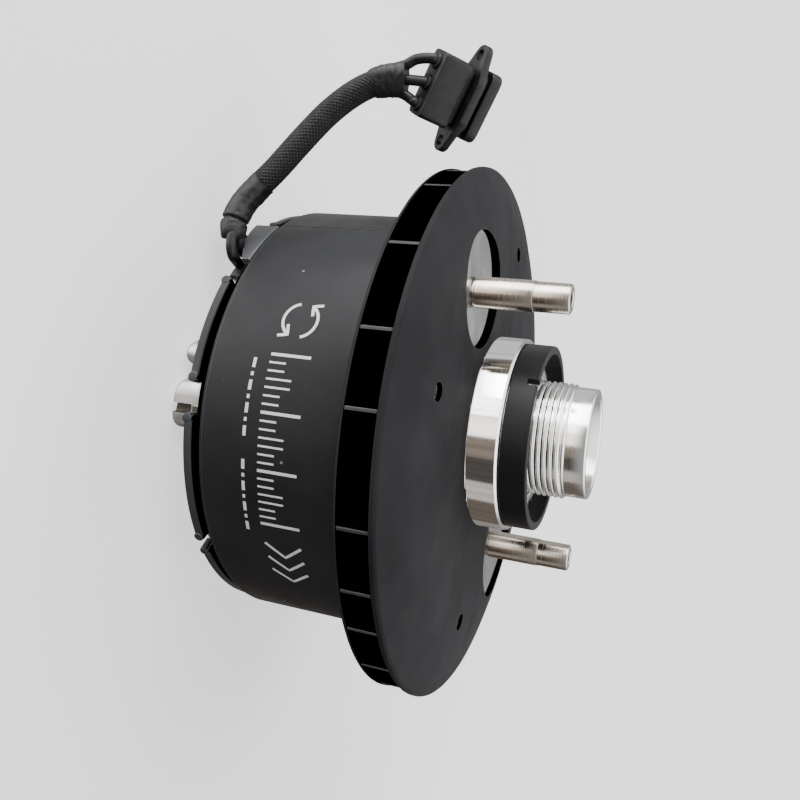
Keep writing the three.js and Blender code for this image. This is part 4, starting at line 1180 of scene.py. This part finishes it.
def add_cable_guard(looks):
    """The wedge that turns the cable outwards, on its foot, and the lumpy resin that seals the leads."""
    foot = lathe("guard_foot", band(51.2, 55, 11.1, 12.6, 0.3), None, 288, 11.3, -143.3)
    wedge = shade(joined("cable_wedge", [guard_wall(), foot], looks["guard"]))
    place(wedge, "stator", "grey_coat", "cable_guard")

    resin = lathe("resin", band(49.9, 51.3, 5.6, 9.2, 0.6, 6), looks["potting"], 720, 17, -142.5)
    for vertex in resin.data.vertices:
        bulge = noise.noise(vertex.co * 420)
        vertex.co += vertex.co.normalized() * bulge * 0.25 * MM
    place(shade(resin, 50), "stator", "potting", "lead_potting")


def wire_loop(outline, radius, degrees):
    """Points round a closed wire that follows an outline of (across, z) on a tooth, ring by ring."""
    points = [Vector((radius, x, z)) for x, z in outline]
    radial = Vector((1, 0, 0))
    turn = Matrix.Rotation(math.radians(degrees), 3, "Z")
    verts = []
    for i, here in enumerate(points):
        along = (points[(i + 1) % len(points)] - points[i - 1]).normalized()
        across = along.cross(radial).normalized()
        for angle in (2 * math.pi * k / COIL.sides for k in range(COIL.sides)):
            verts.append(turn @ (here + (radial * math.cos(angle) + across * math.sin(angle)) * COIL.wire))
    return verts


def add_windings(looks):
    """Every third tooth's coil, turn by turn, as one object for each phase, with the track that joins it."""
    bottom, top = STACK.bottom - STACK.overhang, STACK.top + STACK.overhang
    for phase, letter in enumerate("abc"):
        verts, faces = [], []
        for tooth in range(phase, STACK.teeth, 3):
            for share in (t / (COIL.turns - 1) for t in range(COIL.turns)):
                radius = STACK.slot_floor + 0.9 + (STACK.coil_end - STACK.slot_floor - 1.4) * share
                half = 2.25 + 0.75 * share
                outline = band(-half, half, bottom + 0.6, top - 0.6, 1.8, 3)
                faces += skin(len(outline), COIL.sides, True, len(verts))
                verts += wire_loop(outline, radius, 360 / STACK.teeth * tooth)
        wound = piece(f"coils_{letter}", verts, faces, looks["copper"], 80)
        at = 38.2 + 2.6 * phase
        track = lathe(f"bus_{letter}", band(at - 0.6, at + 0.6, bottom - 0.8, bottom - 0.3, 0.1), None, 144)
        winding = shade(joined(f"winding_{letter}", [wound, track], looks["copper"]), 80)
        place(winding, "stator", "copper", f"winding_phase_{letter}")


def dress_inner_parts(looks):
    """CAD nodes whose own shape is shown get a finish."""
    bearing_parts = [f"{end}_bearing_{part}" for end in ("lower", "upper")
                     for part in ("outer_race", "cage", "inner_race", "shield")]
    rows = {
        "lamination": ["stator_core"],
        "magnet": ["magnet_ring"],
        "bell": ["bearing_tube", "outer_spacer", "inner_spacer"],
        "steel": ["shaft_clip", *bearing_parts],
    }
    for look, names in rows.items():
        for name in names:
            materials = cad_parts[name].data.materials
            materials.clear()
            materials.append(looks[look])


# ---------------------------------------------------------------- floor and light


def add_floor():
    """Pale paper that glows a little and fades into the background. It neither lights the object nor
    shows in its reflections."""
    floor = lathe("floor", [(0.1, -0.5), (900, -0.5), (900, 0.0), (0.1, 0.0)], None, 96)
    look = Look("floor_paper", (0.80, 0.80, 0.80), 0.9)
    look.set("Specular IOR Level", 0.1)
    look.set("Emission Color", (1, 1, 1, 1))
    look.set("Emission Strength", 0.9)
    look.bump(look.noise(3, 3), 0.02, 0.2)
    fade = look.ranged(look.radius_and_height()[0], 0.12, 0.5)
    clear = look.node("BsdfTransparent").outputs[0]
    shown = look.blended(fade, look.surface.outputs[0], clear)
    look.feed(look.tree.nodes["Material Output"].inputs["Surface"], shown)
    floor.data.materials.append(look.material)
    floor.visible_glossy = False
    floor.visible_diffuse = False


def add_light(name, at, size, watts, glossy=False):
    """A soft rectangular lamp aimed at the object, out of the camera's own sight."""
    data = bpy.data.lights.new(name, "AREA")
    data.shape = "RECTANGLE"
    data.size, data.size_y = (s * MM for s in size)
    data.energy = watts
    light = bpy.data.objects.new(name, data)
    bpy.context.scene.collection.objects.link(light)
    facing = (at - MIDDLE).to_track_quat("Z", "Y")
    light.matrix_world = Matrix.Translation(at * MM) @ facing.to_matrix().to_4x4()
    light.visible_camera = False
    light.visible_glossy = glossy


def reflected_room(graph):
    """What shiny parts reflect: upright panels and dark gaps round the horizon, and a bright ceiling."""
    split = graph.node("SeparateXYZ", {0: graph.node("TexCoord").outputs["Generated"]}).outputs
    bearing = graph.math("ARCTAN2", split["X"], graph.math("MULTIPLY", split["Y"], -1.0))
    share = graph.math("ADD", graph.math("MULTIPLY", bearing, 0.5 / math.pi), 0.5)

    ramp = graph.node("ValToRGB", {"Fac": share})
    bands = ramp.color_ramp.elements
    brightest = max(bright for _, bright, _ in ROOM_PANELS)
    for (start, bright, warmth), (end, _, _) in zip(ROOM_PANELS, [*ROOM_PANELS[1:], (180, 0, 0)]):
        level = bright / brightest
        for degrees in (start + 0.8, end - 0.8):
            color = (level, level * (1 - 0.18 * warmth), level * (1 - 0.32 * warmth), 1)
            bands.new((degrees + 180) / 360).color = color
    bands[0].color = bands[1].color
    bands[len(bands) - 1].color = bands[len(bands) - 2].color

    streaks = graph.node("TexNoise", {"W": share, "Scale": 60, "Detail": 4}, noise_dimensions="1D")
    lively = graph.math("ADD", graph.math("MULTIPLY", streaks.outputs["Fac"], 0.9), 0.55)
    level = graph.math("MULTIPLY", lively, brightest)
    panels = graph.node("Background", {"Color": ramp.outputs["Color"], "Strength": level})
    ceiling = graph.node("Background", {"Strength": graph.ranged(split["Z"], 0.35, 0.8, 0.5, 4.0)})
    return graph.blended(graph.ranged(split["Z"], 0.02, 0.12), panels.outputs[0], ceiling.outputs[0])


def add_world():
    """Soft daylight on the object, a studio in what it mirrors, and bright paper behind it."""
    world = bpy.data.worlds.new("world")
    bpy.context.scene.world = world
    world.use_nodes = True
    graph = Graph(world.node_tree)
    daylight = graph.tree.nodes["Background"]
    graph.feed(daylight.inputs["Color"], (0.93, 0.96, 1.0, 1))
    graph.feed(daylight.inputs["Strength"], 0.41)
    paper = graph.node("Background", {"Color": (2.0, 2.0, 2.01, 1)})
    ray = graph.node("LightPath").outputs
    unseen = graph.blended(ray["Is Glossy Ray"], daylight.outputs[0], reflected_room(graph))
    shown = graph.blended(ray["Is Camera Ray"], unseen, paper.outputs[0])
    graph.feed(graph.tree.nodes["World Output"].inputs["Surface"], shown)


# ---------------------------------------------------------------- assembly


right, up, forward = add_camera()
looks = make_looks()
add_cable(looks)

add_can(looks)
add_print(looks)
add_fan(looks)
add_fan_screws(looks)
add_bell(looks)
add_collar(looks)
add_clamp_ring(looks)
add_shaft(looks)
add_posts(looks)

add_base(looks)
add_base_screws(looks)
add_cover_ring(looks)
add_cable_guard(looks)
add_windings(looks)
dress_inner_parts(looks)

add_floor()
add_world()
add_light("key", MIDDLE + up * 700 - forward * 350 + right * 100, (700, 700), 13.5, glossy=True)
add_light("fill", MIDDLE - forward * 700 - right * 500, (600, 600), 3)
add_light("back", MIDDLE - up * 600 + forward * 500 + right * 200, (500, 500), 7)
add_light("rim", MIDDLE + right * 700 + up * 250, (350, 700), 3)
